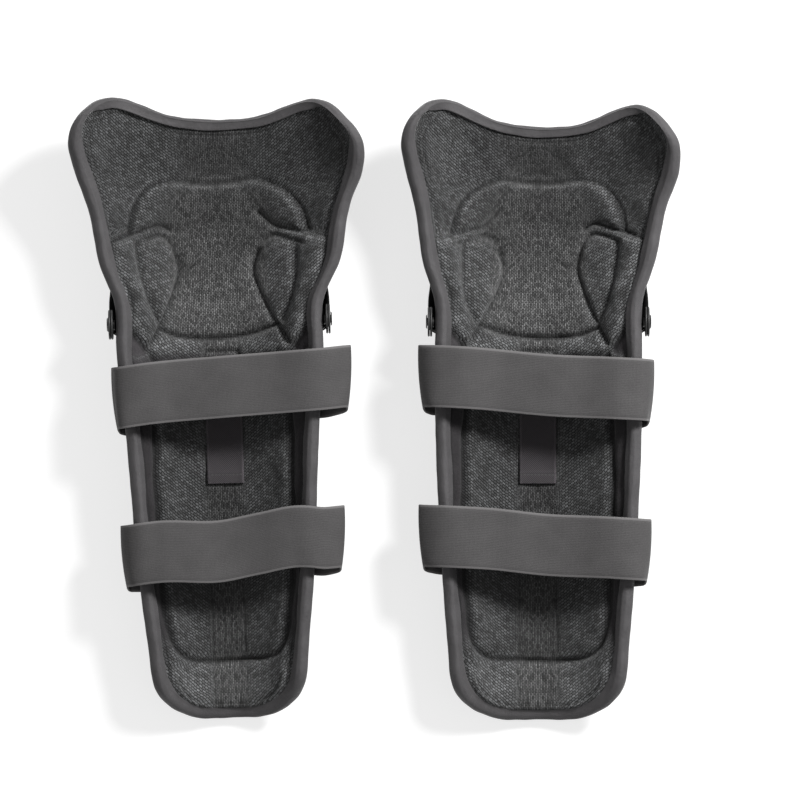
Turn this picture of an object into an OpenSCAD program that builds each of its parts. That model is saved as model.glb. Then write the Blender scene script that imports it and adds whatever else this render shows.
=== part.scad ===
// Pair of knee and shin guards: hard shells outside, padded knit liners inside,
// two elastic straps each. They lie on their shells with the liners up.
// +Z is up, +Y runs from the ankle ends to the thigh ends, +X runs from left to right.

/* [Pair] */
// Distance from the middle of the pair to the middle line of the left guard
left_offset = 112; // [108:1:150]
// Distance from the middle of the pair to the middle line of the right guard
right_offset = 122.5; // [115:0.5:150]
// Turn of the left guard about the vertical
left_turn = 1.6; // [0:0.1:2]

/* [Lengths] */
// Ankle end to the knee pivots
shin_len = 292; // [243:1:351]
// Knee pivots to the thigh edge, along the middle
knee_len = 145; // [120:1:175]
// Rise of the two thigh lobes above the middle of the thigh edge
lobe_rise = 17; // [10:1:21]
// Length of the rounded ankle end
ankle_round = 34; // [26:1:42]

/* [Half widths] */
// Half width of the left guard at the ankle end
left_ankle_half_w = 56; // [52:1:66]
// Half width of the right guard at the ankle end
right_ankle_half_w = 64; // [52:1:68]
// Half width of the left guard at the calf
left_calf_half_w = 70; // [66:1:77]
// Half width of the right guard at the calf
right_calf_half_w = 75; // [66:1:77]
// Half width of the liners at the knee pivots
waist_half_w = 75.5; // [63:0.5:91]
// Half width of the left guard across the thigh lobes
left_lobe_half_w = 105; // [90:1:108]
// Half width of the right guard across the thigh lobes
right_lobe_half_w = 100; // [90:1:108]

/* [Trough] */
// Depth of the trough at the ankle
ankle_depth = 34; // [28:1:41]
// Depth of the trough along the shin
shin_depth = 41; // [34:1:49]
// Depth of the trough at the thigh lobes
lobe_depth = 49; // [41:1:59]
// Height of the thigh edge's middle above the floor
thigh_lift = 30; // [20:1:38]

/* [Layers] */
// Thickness of the hard shells
shell_t = 2.8; // [2:0.1:3.4]
// Thickness of the foam
foam_t = 9; // [7:0.5:11]
// Thickness of the knit over the foam
knit_t = 1.3; // [1:0.1:1.6]
// Thickness of the binding tape
tape_t = 1.2; // [0.9:0.1:1.5]
// Width of the binding that laps over each face
tape_lap = 5; // [4:0.5:6]
// Space between pieces that lie on each other
seat_gap = 0.3; // [0.2:0.05:0.4]

/* [Knee pivot] */
// Height of the pivot axis above the floor
pivot_z = 45; // [42:1:50]
// Radius of the round ears at the pivots
ear_r = 11; // [9:0.5:13]
// Radius of the rivet shanks
rivet_r = 3; // [2:0.5:4]
// Radius of the rivet heads
rivet_head_r = 5.5; // [5:0.5:7]
// Running clearance of a rivet in its holes
rivet_play = 0.05; // [0.03:0.01:0.1]

/* [Straps] */
// Width of the elastic straps
strap_w = 46; // [38:1:56]
// Thickness of the elastic
strap_t = 1.6; // [1.3:0.1:2]
// Ankle end to the middle of the upper strap
upper_strap_v = 243; // [200:1:246]
// Ankle end to the middle of the lower strap
lower_strap_v = 125; // [100:1:150]
// How much nearer the thigh the right guard's straps sit
right_strap_shift = 3; // [0:1:6]
// Rise of each strap towards the pair's middle, per unit of width
strap_slant = 0.065; // [0:0.005:0.09]
// How far the folds of the left guard's straps stand out on their hooked side
left_hook_fold = 20; // [10:1:22]
// How far the folds of the right guard's straps stand out on their hooked side
right_hook_fold = 14; // [10:1:22]
// How far the fold of a strap stands out on its sewn side
sewn_fold = 9; // [7:1:12]
// Thickness of the hook and loop patches
patch_t = 1; // [0.8:0.1:1.3]

/* [Middle tab] */
// Width of the webbing tab on the shin liner
tab_w = 27; // [20:1:32]
// Ankle end to the free end of the tab
tab_v = 172; // [140:1:200]

/* [Hidden] */
SIDES = ["left", "right"];
PIECES = ["shin_shell", "knee_cup", "thigh_plate", "pivot_rivets", "thigh_rivets",
    "shin_foam", "knee_foam", "shin_knit", "knee_knit", "shin_binding", "knee_binding",
    "waist_gusset", "middle_tab", "strap_rivets",
    "upper_strap", "upper_strap_tail", "upper_strap_anchor", "upper_hook_patch", "upper_loop_patch",
    "lower_strap", "lower_strap_tail", "lower_strap_anchor", "lower_hook_patch", "lower_loop_patch"];

shell_black = [0.10, 0.10, 0.11];
knit_grey = [0.30, 0.29, 0.30];
tape_grey = [0.27, 0.27, 0.29];
elastic_grey = [0.34, 0.33, 0.34];
webbing_black = [0.15, 0.13, 0.16];
rivet_grey = [0.45, 0.45, 0.47];

guard_len = shin_len + knee_len;
// Height by which the lowest shell surfaces are cut flat, so that each guard rests on lands
land = 0.8;
// Layers, as heights above the outer face of the foam
foam_top = foam_t;
knit_low = foam_top + seat_gap;
knit_top = knit_low + knit_t;
plate_high = -seat_gap;
plate_low = plate_high - shell_t;
cup_high = plate_low - 2 * seat_gap;
cup_low = cup_high - shell_t;
// Heights of the foam's outer face above the floor, along the middle line
shin_base = shell_t + seat_gap - land;
knee_base = -cup_low - land;
// Half of the open gap between the two liners at the knee pivots
split = 5;
// Roundness of the trough: 0 is a parabola, 1 ends in upright walls
roundness = 0.847;
// Ears: the shin shell's inside, the knee cup's outside
ear_t = 1.5;
ear_x = waist_half_w + 2 * tape_t + 3 * seat_gap;
cup_ear_x = ear_x + ear_t + seat_gap;
// Reach of the shin shell's top and the knee cup's lower edge, around the pivot axis
lame_angles = [-30, -16, -2];
cup_angles = [-27, -13, 0];
// Clearance between the two round shells, which are faceted
lame_gap = 0.9;
lame_r = pivot_z + land - shell_t - lame_gap;
cup_r = pivot_z + land;
edge_r = 0.8 * ear_r;

// Smooth curve through stations [place, value] that rise in place
function bend(pts, i, v) =
    let (a = pts[max(i - 1, 0)])
    let (b = pts[i])
    let (c = pts[i + 1])
    let (d = pts[min(i + 2, len(pts) - 1)])
    let (h = c[0] - b[0])
    let (t = (v - b[0]) / h)
    let (mb = h * (c[1] - a[1]) / (c[0] - a[0]))
    let (mc = h * (d[1] - b[1]) / (d[0] - b[0]))
    (1 + 2 * t) * pow(1 - t, 2) * b[1] + t * pow(1 - t, 2) * mb
    + t * t * (3 - 2 * t) * c[1] + t * t * (t - 1) * mc;
function curve(pts, v, i = 0) =
    v <= pts[0][0] ? pts[0][1] :
    v >= pts[len(pts) - 1][0] ? pts[len(pts) - 1][1] :
    v <= pts[i + 1][0] ? bend(pts, i, v) : curve(pts, v, i + 1);
function smooth(t) = let (u = min(max(t, 0), 1)) u * u * (3 - 2 * u);
function mix(a, b, t) = a + (b - a) * t;

// Outline and trough of guard g (0 left, 1 right) at the distance v from the ankle end
function ankle_half_w(g) = g == 0 ? left_ankle_half_w : right_ankle_half_w;
function calf_half_w(g) = g == 0 ? left_calf_half_w : right_calf_half_w;
function lobe_half_w(g) = g == 0 ? left_lobe_half_w : right_lobe_half_w;
function full_half_w(g, v) = curve([
    [0, ankle_half_w(g)],
    [0.12 * shin_len, ankle_half_w(g) + 1],
    [0.38 * shin_len, mix(ankle_half_w(g), calf_half_w(g), 0.6)],
    [0.7 * shin_len, calf_half_w(g)],
    [shin_len - 22, waist_half_w],
    [shin_len + 16, waist_half_w],
    [shin_len + 0.3 * knee_len, mix(waist_half_w, lobe_half_w(g), 0.32)],
    [shin_len + 0.6 * knee_len, mix(waist_half_w, lobe_half_w(g), 0.58)],
    [shin_len + 0.86 * knee_len, lobe_half_w(g)],
    [guard_len, lobe_half_w(g)]], v);
function end_round(v) = v >= ankle_round ? 1 : pow(1 - pow(1 - max(v, 1) / ankle_round, 2.5), 0.4);
function corner_round(v) =
    1 - 0.08 * pow(max(v - shin_len - 0.86 * knee_len, 0) / (0.14 * knee_len), 2);
function half_w(g, v) = full_half_w(g, v) * end_round(v) * corner_round(v);
function depth(v) = curve([
    [0, ankle_depth],
    [0.35 * shin_len, shin_depth],
    [shin_len, shin_depth - 1],
    [shin_len + 0.5 * knee_len, mix(shin_depth, lobe_depth, 0.7)],
    [guard_len, lobe_depth]], v);
function base_z(v) = curve([
    [0, shin_base],
    [0.2 * shin_len, shin_base],
    [0.5 * shin_len, shin_base + 2],
    [0.78 * shin_len, shin_base + 5],
    [shin_len - 41, shin_base + 8],
    [shin_len - 24, pivot_z - (lame_r - shell_t) * cos(30) + 1],
    [shin_len + 10, pivot_z - (lame_r - shell_t) + 3],
    [shin_len + 0.35 * knee_len, knee_base],
    [shin_len + 0.57 * knee_len, knee_base],
    [shin_len + 0.75 * knee_len, knee_base + 0.22 * thigh_lift],
    [guard_len, thigh_lift]], v);

// Cross-section of the trough: height and slope over the share u of the full half width
sag = 1 - sqrt(1 - roundness * roundness);
function rise(u) = (1 - sqrt(1 - pow(roundness * u, 2))) / sag;
function rise_rate(u) = roundness * roundness * u / sqrt(1 - pow(roundness * u, 2)) / sag;
// The thigh edge dips in the middle between its two lobes
function wave(s) = curve([[0, 0], [0.35, 0.2], [0.76, 1], [0.9, 0.8], [1, 0.25]], abs(s));
function edge_shift(v, s) =
    lobe_rise * wave(s) * smooth((v - shin_len - 0.62 * knee_len) / (0.38 * knee_len));

// Point of guard g at the distance v, at the share s of its half width, lifted off the foam's
// outer face along the surface
function skin(g, v, s, lift) =
    let (x = half_w(g, v) * s)
    let (u = x / full_half_w(g, v))
    let (slope = depth(v) * rise_rate(u) / full_half_w(g, v))
    let (n = 1 / sqrt(1 + slope * slope))
    [x - lift * slope * n, v + edge_shift(v, s), base_z(v) + depth(v) * rise(u) + lift * n];
function skin_normal(g, v, s) = skin(g, v, s, 1) - skin(g, v, s, 0);

// Point on a round shell about the pivot axis: half width ax, radius ar, at the angle phi
// from straight down
function around(ax, ar, share, phi) =
    let (x = ax * share)
    let (r = ar * sqrt(1 - pow(share, 2)))
    [x, shin_len + r * sin(phi), pivot_z - r * cos(phi)];
function edge_share(ar, r = edge_r) = sqrt(1 - pow(r / ar, 2));

// Columns across a guard as shares of its half width, closer together towards its edges
LINER_COLS = [for (j = [-5:5]) sin(18 * j)];
PLATE_COLS = [for (j = [-3:3]) sin(18 * j)];
// Share of the half width that the shin shell and knee cup cover
shell_share = 0.9;
SHELL_COLS = concat([-shell_share], PLATE_COLS, [shell_share]);
function steps(a, b, n) = [for (i = [0:n]) mix(a, b, i / n)];

// Closed slab between two grids of points with the same rows and columns
function quad(a, b, c, d) = [[a, b, c], [a, c, d]];
function slab_faces(n, m) =
    let (low = n * m)
    concat(
        [for (i = [0:n - 2], j = [0:m - 2]) let (k = i * m + j) each
            concat(quad(k, k + m, k + m + 1, k + 1),
                quad(low + k, low + k + 1, low + k + m + 1, low + k + m))],
        [for (i = [0:n - 2]) let (k = i * m) each
            concat(quad(k + m, k, low + k, low + k + m),
                quad(k + m - 1, k + 2 * m - 1, low + k + 2 * m - 1, low + k + m - 1))],
        [for (j = [0:m - 2]) let (k = (n - 1) * m + j) each
            concat(quad(j, j + 1, low + j + 1, low + j),
                quad(k + 1, k, low + k, low + k + 1))]);
module slab(top, bottom) {
    n = len(top);
    m = len(top[0]);
    points = concat([for (row = top) each row], [for (row = bottom) each row]);
    polyhedron(points, slab_faces(n, m));
}
// Slab that follows the trough between two lifts
module layer(g, rows, cols, low, high) {
    slab([for (v = rows) [for (s = cols) skin(g, v, s, high)]],
        [for (v = rows) [for (s = cols) skin(g, v, s, low)]]);
}

module place(g) {
    shift = g == 0 ? -left_offset : right_offset;
    turn = g == 0 ? left_turn : 0;
    translate([shift, 0, 0])
        rotate([0, 0, turn])
            translate([0, -(guard_len + lobe_rise) / 2, 0])
                children();
}
// Keeps what is above the floor
module on_floor() {
    difference() {
        children();
        translate([-150, -50, -20])
            cube([300, guard_len + 100, 20]);
    }
}
module pivot_discs(x, r, t) {
    for (side = [-1, 1])
        translate([side * x, shin_len, pivot_z])
            rotate([0, 90 * side, 0])
                cylinder(r = r, h = t, $fn = 48);
}

// Rows along the liners and shells
SHIN_ROWS = concat([3, 7, 12, 19, 29, 45], steps(70, shin_len - 67, 5),
    [shin_len - 41, shin_len - 24, shin_len - 14, shin_len - split]);
KNEE_ROWS = concat([shin_len + split, shin_len + 16],
    steps(shin_len + 0.2 * knee_len, shin_len + 0.86 * knee_len, 6),
    [shin_len + 0.93 * knee_len, guard_len - 3]);

// Shin shell: the trough's outside, then a round top that tucks under the knee cup
function lame_row(part, phi) =
    let (ar = lame_r - (part == 1 ? 0 : shell_t))
    let (x = ear_x + (part == 1 ? ear_t : 0))
    [for (s = SHELL_COLS) around(x / edge_share(ar), ar, s / shell_share * edge_share(ar), phi)];
// The shell's outline keeps this far inside the liner's rounded ankle end
end_inset = 7;
function shin_grid(g, part) =
    let (lift = part == 1 ? plate_low : plate_high)
    let (rows = [for (i = [2:11]) SHIN_ROWS[i]])
    let (straight = [for (v = rows) [for (s = SHELL_COLS)
        skin(g, v, s * half_w(g, v - end_inset) / half_w(g, v), lift - (v < ankle_round ? 0.8 : 0))]])
    // The shell leaves the liner later at its sides than in the middle
    let (leave = [for (t = [0.35, 0.7, 1]) [for (s = SHELL_COLS)
        skin(g, mix(rows[9], shin_len - 45 + 30 * abs(s) / shell_share, t), s, lift)]])
    concat(straight, leave, [for (phi = lame_angles) lame_row(part, phi)]);
module shin_shell(g) {
    color(shell_black)
        difference() {
            union() {
                on_floor()
                    slab(shin_grid(g, 0), shin_grid(g, 1));
                pivot_discs(ear_x, ear_r, ear_t);
            }
            pivot_discs(ear_x - 5, rivet_r + rivet_play, 12);
            at_strap_rivets(g, upper_v(g))
                rivet_bore();
            at_strap_rivets(g, lower_v(g))
                rivet_bore();
        }
}

// Knee cup: a round lower edge about the pivots, then the knee's bowl
function cup_section(part, phi) =
    let (ar = cup_r - (part == 1 ? 0 : shell_t))
    let (x = cup_ear_x + 2 * seat_gap + (part == 1 ? ear_t : 0))
    [for (s = SHELL_COLS) around(x / edge_share(ar, ear_r), ar, s / shell_share * edge_share(ar), phi)];
function cup_row(g, part, v) =
    let (lift = part == 1 ? cup_low : cup_high)
    let (round_row = cup_section(part, 0))
    let (t = smooth((v - shin_len - ear_r - 2) / (0.36 * knee_len)))
    [for (j = [0:len(SHELL_COLS) - 1])
        let (wide = skin(g, v, SHELL_COLS[j], lift))
        mix([round_row[j][0], v, round_row[j][2]], wide, t)];
function cup_grid(g, part) =
    concat([for (phi = cup_angles) cup_section(part, phi)],
        [for (i = [1:5]) cup_row(g, part, KNEE_ROWS[i])]);
module knee_cup(g) {
    color(shell_black)
        difference() {
            union() {
                on_floor()
                    slab(cup_grid(g, 0), cup_grid(g, 1));
                pivot_discs(cup_ear_x, ear_r, ear_t);
            }
            pivot_discs(cup_ear_x - 5, rivet_r + rivet_play, 12);
            thigh_rivet_shanks(g, rivet_r - 0.5 + rivet_play);
        }
}

// Thigh plate: tucked under the knee cup's upper edge and riveted to it
rivet_v = (KNEE_ROWS[4] + KNEE_ROWS[5]) / 2 - 2;
module at_thigh_rivets(g) {
    for (s = [-0.5, 0.5]) {
        p = skin(g, rivet_v, s, plate_high);
        n = skin_normal(g, rivet_v, s);
        translate(p)
            rotate([0, atan2(n[0], n[2]), 0])
                children();
    }
}
module thigh_rivet_shanks(g, r) {
    at_thigh_rivets(g)
        translate([0, 0, -3 * shell_t])
            cylinder(r = r, h = 3 * shell_t + 1, $fn = 32);
}
module thigh_plate(g) {
    rows = [for (i = [3:9]) KNEE_ROWS[i]];
    color(shell_black)
        difference() {
            layer(g, rows, PLATE_COLS, plate_low, plate_high);
            thigh_rivet_shanks(g, rivet_r - 0.5 + rivet_play);
        }
}
module thigh_rivets(g) {
    stack = 2 * shell_t + seat_gap;
    color(rivet_grey)
        at_thigh_rivets(g) {
            translate([0, 0, -stack - 0.6])
                cylinder(r = rivet_r - 0.5, h = stack + 0.5, $fn = 32);
            translate([0, 0, -stack - 2.2])
                cylinder(r1 = rivet_head_r - 1, r2 = rivet_head_r, h = 1.6, $fn = 32);
        }
}
module pivot_rivets(g) {
    head_t = 1;
    reach = 2 * ear_t + 3 * seat_gap;
    color(rivet_grey)
        for (side = [-1, 1])
            translate([side * (ear_x - seat_gap), shin_len, pivot_z])
                rotate([0, 90 * side, 0]) {
                    translate([0, 0, -head_t])
                        cylinder(r = split - 1, h = head_t, $fn = 48);
                    cylinder(r = rivet_r, h = reach, $fn = 48);
                    translate([0, 0, reach])
                        cylinder(r1 = rivet_head_r, r2 = rivet_head_r - 1, h = head_t, $fn = 48);
                }
}

// Liners: foam, knit and binding tape round the edge
module shin_foam(g) {
    color([0.2, 0.2, 0.2])
        layer(g, SHIN_ROWS, LINER_COLS, 0, foam_top);
}
module knee_foam(g) {
    color([0.2, 0.2, 0.2])
        layer(g, KNEE_ROWS, LINER_COLS, 0, foam_top);
}
module shin_knit(g) {
    color(knit_grey)
        layer(g, SHIN_ROWS, LINER_COLS, knit_low, knit_top);
}
module knee_knit(g) {
    color(knit_grey)
        layer(g, KNEE_ROWS, LINER_COLS, knit_low, knit_top);
}

// Tape with a C section swept along a liner's edge, given as [v, s] places in order
TAPE_IN = 2 * seat_gap + 0.2;
TAPE_OUT = TAPE_IN + tape_t;
// The inner lap follows the trough's curve away from its tangent
TAPE_CURL = 0.8;
TAPE_SECTION = [
    [-TAPE_OUT - 0.2, -tape_lap], [-TAPE_OUT, TAPE_OUT],
    [knit_top + TAPE_OUT, TAPE_OUT], [knit_top + TAPE_OUT + TAPE_CURL, -tape_lap],
    [knit_top + TAPE_IN + TAPE_CURL, -tape_lap], [knit_top + TAPE_IN, TAPE_IN],
    [-TAPE_IN, TAPE_IN], [-TAPE_IN - 0.2, -tape_lap]];
function tape_ring(g, edge, i) =
    let (before = edge[max(i - 1, 0)])
    let (after = edge[min(i + 1, len(edge) - 1)])
    let (along = skin(g, after[0], after[1], 0) - skin(g, before[0], before[1], 0))
    let (v = edge[i][0])
    let (s = edge[i][1])
    let (across = skin(g, v, s * 0.99 + 0.01, 0) - skin(g, v, s * 0.99 - 0.01, 0))
    let (ahead = skin(g, v + 1, s, 0) - skin(g, v - 1, s, 0))
    let (out = cross(cross(across, ahead), along))
    [for (p = TAPE_SECTION) skin(g, v, s, p[0]) + p[1] * out / norm(out)];
module tape(g, edge) {
    n = len(edge);
    points = [for (i = [0:n - 1]) each tape_ring(g, edge, i)];
    walls = [for (i = [0:n - 2], k = [0:7]) let (a = 8 * i + k) let (b = 8 * i + (k + 1) % 8)
        each quad(a, b, b + 8, a + 8)];
    low_cap = concat(quad(0, 7, 6, 1), quad(1, 6, 5, 2), quad(2, 5, 4, 3));
    high_cap = [for (f = low_cap) [for (k = [2, 1, 0]) f[k] + 8 * (n - 1)]];
    polyhedron(points, concat(walls, low_cap, high_cap));
}
module shin_binding(g) {
    n = len(SHIN_ROWS);
    edge = concat(
        [for (i = [n - 1:-1:1]) [SHIN_ROWS[i], 1]],
        [for (s = LINER_COLS) [SHIN_ROWS[0], -s]],
        [for (i = [1:n - 1]) [SHIN_ROWS[i], -1]]);
    color(tape_grey)
        tape(g, edge);
}
module knee_binding(g) {
    n = len(KNEE_ROWS);
    edge = concat(
        [for (i = [0:n - 2]) [KNEE_ROWS[i], -1]],
        [for (s = LINER_COLS) [KNEE_ROWS[n - 1], s]],
        [for (i = [n - 2:-1:0]) [KNEE_ROWS[i], 1]]);
    color(tape_grey)
        tape(g, edge);
}

// Stretch fabric between the two liners at the pivots
module waist_gusset(g) {
    gap = split - seat_gap;
    color(tape_grey)
        layer(g, [shin_len - gap, shin_len, shin_len + gap], SHELL_COLS, foam_t / 2, foam_t / 2 + tape_t);
}
// Webbing tab sewn to the shin liner at the top, free at its lower end
module middle_tab(g) {
    s_half = tab_w / 2 / calf_half_w(g);
    // The knit below is faceted, and its facets stand up between their edges
    lift = knit_top + seat_gap + 1;
    color(webbing_black)
        layer(g, steps(tab_v, shin_len - 18, 6), [-s_half, 0, s_half], lift, lift + 1.4);
}

// Straps. hand is 1 where the hooked side is at +X, -1 where it is at -X
function hand(g) = g == 0 ? 1 : -1;
function hook_fold(g) = g == 0 ? left_hook_fold : right_hook_fold;
function upper_v(g) = upper_strap_v + g * right_strap_shift;
function lower_v(g) = lower_strap_v + g * right_strap_shift;
loop_high = plate_low - 2 * seat_gap;
loop_low = loop_high - patch_t;
hook_high = loop_low - seat_gap;
hook_low = hook_high - patch_t;
tail_lift = hook_low - seat_gap;
anchor_lift = plate_low - 2 * seat_gap;
// Half of the slit that the model leaves at each fold, so that the parts of a strap can turn
fold_slit = 0.45;
// Inner face of a strap as [x, z] points on the +X side. v is the strap's middle, w a line across it
function fold_xz(g, v, fold) = [full_half_w(g, v) + fold, skin(g, v, 1, 0)[2] - 3];
function shell_xz(g, v, s, lift) = let (p = skin(g, v, s, lift)) [p[0], p[2]];
function wrap_path(g, v, w, fold, lift) =
    let (f = fold_xz(g, v, fold))
    [f - [0, fold_slit], f - [1.2, 5], (f - [5, 9] + shell_xz(g, v + w, 0.97, lift - 2)) / 2,
        shell_xz(g, v + w, 0.92, lift - 0.7), shell_xz(g, v + w, 0.85, lift),
        shell_xz(g, v + w, 0.77, lift), shell_xz(g, v + w, 0.69, lift)];
function rim_path(g, v, fold) =
    let (f = fold_xz(g, v, fold))
    let (x = full_half_w(g, v))
    let (top = skin(g, v, 1, 0)[2])
    [f + [0, fold_slit], f + [-1.2, 5], [x + 0.35 * fold, top + 8.5], [x - 5, top + 11.6],
        [x - 18, top + 11.6], [x - 38, top + 8.5]];
function main_path(g, v) =
    let (hooked = rim_path(g, v, hook_fold(g)))
    concat([for (p = rim_path(g, v, sewn_fold)) [-p[0], p[1]]], [[0, skin(g, v, 1, 0)[2] + 7]],
        [for (i = [len(hooked) - 1:-1:0]) hooked[i]]);
// Path from the shell round to the fold on the sewn side
function anchor_path(g, v, w) =
    let (wrap = wrap_path(g, v, w, sewn_fold, anchor_lift))
    [for (i = [len(wrap) - 1:-1:0]) [-wrap[i][0], wrap[i][1]]];
// Lines along a strap's width
function strap_lines() = steps(-strap_w / 2, strap_w / 2, 4);
// Distance from the ankle end of a strap's point at x
function slanted(v, w, x) = v + w + strap_slant * x;
function path_normal(path, i) =
    let (d = path[min(i + 1, len(path) - 1)] - path[max(i - 1, 0)])
    [-d[1], d[0]] / norm(d);
// Band on the outer side of a path that is given for each line across its width
module band(g, v, lines, paths, t) {
    h = hand(g);
    faces = [for (lift = [0, t]) [for (i = [0:len(paths[0]) - 1]) [for (j = [0:len(lines) - 1])
        let (p = paths[j][i] + lift * path_normal(paths[j], i))
        [h * p[0], slanted(v, lines[j], p[0]), p[1]]]]];
    slab(faces[h > 0 ? 0 : 1], faces[h > 0 ? 1 : 0]);
}
module strap(g, v) {
    color(elastic_grey)
        band(g, v, [-strap_w / 2, strap_w / 2], [main_path(g, v), main_path(g, v)], strap_t);
}
// Slant of a strap where it lies on the shell, as a shift towards the thigh
function end_shift(g) = strap_slant * 0.85 * calf_half_w(g);
module strap_tail(g, v) {
    paths = [for (w = strap_lines()) wrap_path(g, v, w + end_shift(g), hook_fold(g), tail_lift)];
    color(elastic_grey)
        band(g, v, strap_lines(), paths, strap_t);
}
module strap_anchor(g, v) {
    paths = [for (w = strap_lines()) anchor_path(g, v, w - end_shift(g))];
    color(elastic_grey)
        difference() {
            band(g, v, strap_lines(), paths, strap_t);
            at_strap_rivets(g, v)
                rivet_bore();
        }
}
// Hook and loop patches between the tail and the shell
module patch(g, v, low, high) {
    h = hand(g);
    half = strap_w / 2 - 3;
    shares = h > 0 ? steps(0.7, 0.85, 3) : steps(-0.85, -0.7, 3);
    rows = steps(v + end_shift(g) - half, v + end_shift(g) + half, 4);
    color(webbing_black)
        layer(g, rows, shares, low, high);
}

// Rivets that hold each strap's sewn end to the shell
strap_rivet_r = 2;
module at_strap_rivets(g, v) {
    s = -0.77 * hand(g);
    for (across = [-strap_w / 4, strap_w / 4]) {
        place_v = v - end_shift(g) + across;
        n = skin_normal(g, place_v, s);
        translate(skin(g, place_v, s, 0))
            rotate([0, atan2(n[0], n[2]), 0])
                children();
    }
}
module rivet_bore() {
    translate([0, 0, anchor_lift - strap_t - 3])
        cylinder(r = strap_rivet_r + rivet_play, h = 3 - anchor_lift + strap_t + 1, $fn = 24);
}
module strap_rivets(g) {
    head_high = anchor_lift - strap_t - 2 * seat_gap;
    color(rivet_grey)
        for (v = [upper_v(g), lower_v(g)])
            at_strap_rivets(g, v) {
                translate([0, 0, head_high - 0.1])
                    cylinder(r = strap_rivet_r, h = plate_high - head_high, $fn = 24);
                translate([0, 0, head_high - 1.4])
                    cylinder(r1 = rivet_head_r - 2, r2 = rivet_head_r - 1, h = 1.4, $fn = 32);
            }
}

module piece(g, name) {
    if (name == "shin_shell") shin_shell(g);
    if (name == "knee_cup") knee_cup(g);
    if (name == "thigh_plate") thigh_plate(g);
    if (name == "pivot_rivets") pivot_rivets(g);
    if (name == "thigh_rivets") thigh_rivets(g);
    if (name == "shin_foam") shin_foam(g);
    if (name == "knee_foam") knee_foam(g);
    if (name == "shin_knit") shin_knit(g);
    if (name == "knee_knit") knee_knit(g);
    if (name == "shin_binding") shin_binding(g);
    if (name == "knee_binding") knee_binding(g);
    if (name == "waist_gusset") waist_gusset(g);
    if (name == "middle_tab") middle_tab(g);
    if (name == "strap_rivets") strap_rivets(g);
    if (name == "upper_strap") strap(g, upper_v(g));
    if (name == "upper_strap_tail") strap_tail(g, upper_v(g));
    if (name == "upper_strap_anchor") strap_anchor(g, upper_v(g));
    if (name == "upper_hook_patch") patch(g, upper_v(g), hook_low, hook_high);
    if (name == "upper_loop_patch") patch(g, upper_v(g), loop_low, loop_high);
    if (name == "lower_strap") strap(g, lower_v(g));
    if (name == "lower_strap_tail") strap_tail(g, lower_v(g));
    if (name == "lower_strap_anchor") strap_anchor(g, lower_v(g));
    if (name == "lower_hook_patch") patch(g, lower_v(g), hook_low, hook_high);
    if (name == "lower_loop_patch") patch(g, lower_v(g), loop_low, loop_high);
}
for (g = [0, 1], name = PIECES)
    place(g)
            piece(g, name);
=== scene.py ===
"""Looks of a pair of knee and shin guards that lie on their hard shells with the liners up.

Lengths in the shape functions are millimetres in each guard's own frame: x across from its
middle line, v from the ankle end towards the thigh, z up. to_row() turns them into metres.
"""
import math

import bmesh
import bpy
import numpy as np
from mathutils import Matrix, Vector
from mathutils.bvhtree import BVHTree


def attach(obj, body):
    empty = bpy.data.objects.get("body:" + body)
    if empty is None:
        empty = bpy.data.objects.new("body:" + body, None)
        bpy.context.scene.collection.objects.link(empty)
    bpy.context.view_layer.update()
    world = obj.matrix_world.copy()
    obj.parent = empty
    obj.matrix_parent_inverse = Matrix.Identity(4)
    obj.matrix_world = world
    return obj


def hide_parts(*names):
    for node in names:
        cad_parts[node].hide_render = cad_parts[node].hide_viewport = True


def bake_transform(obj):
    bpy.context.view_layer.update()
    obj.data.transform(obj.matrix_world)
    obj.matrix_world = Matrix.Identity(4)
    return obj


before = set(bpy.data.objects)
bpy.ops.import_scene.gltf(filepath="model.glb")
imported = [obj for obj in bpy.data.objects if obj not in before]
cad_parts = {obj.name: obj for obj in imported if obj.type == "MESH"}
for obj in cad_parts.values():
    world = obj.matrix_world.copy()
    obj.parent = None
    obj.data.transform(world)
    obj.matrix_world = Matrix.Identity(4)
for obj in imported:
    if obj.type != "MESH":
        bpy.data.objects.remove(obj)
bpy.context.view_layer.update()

# -------- sizes, as in the CAD model
LEFT, RIGHT = 0, 1
SIDES = ("left", "right")
# Which way each guard is turned: the right one is the left one mirrored
HAND = (1, -1)
LEFT_OFFSET, RIGHT_OFFSET, LEFT_TURN = 112, 122.5, 1.6
SHIN_LEN, KNEE_LEN, LOBE_RISE = 292, 145, 17
GUARD_LEN = SHIN_LEN + KNEE_LEN
ANKLE_ROUND = 34
ANKLE_HALF_W, CALF_HALF_W, LOBE_HALF_W = (56, 64), (70, 75), (105, 100)
WAIST_HALF_W = 75.5
ANKLE_DEPTH, SHIN_DEPTH, LOBE_DEPTH, THIGH_LIFT = 34, 41, 49, 30
SHELL_T, FOAM_T, KNIT_T, TAPE_T = 2.8, 9, 1.3, 1.2
SEAT_GAP, LAND, ROUNDNESS = 0.3, 0.8, 0.847
PIVOT_Z, EAR_R, EAR_T = 45, 11, 1.5
STRAP_W, STRAP_T, STRAP_SLANT = 46, 1.6, 0.065
UPPER_STRAP_V, LOWER_STRAP_V, RIGHT_STRAP_SHIFT = 243, 125, 3
HOOK_FOLD, SEWN_FOLD, PATCH_T = (20, 14), 9, 1
TAB_W, TAB_V, TAB_END, TAB_STITCH, TAB_T = 27, 172, 262, 6.5, 1.3

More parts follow.
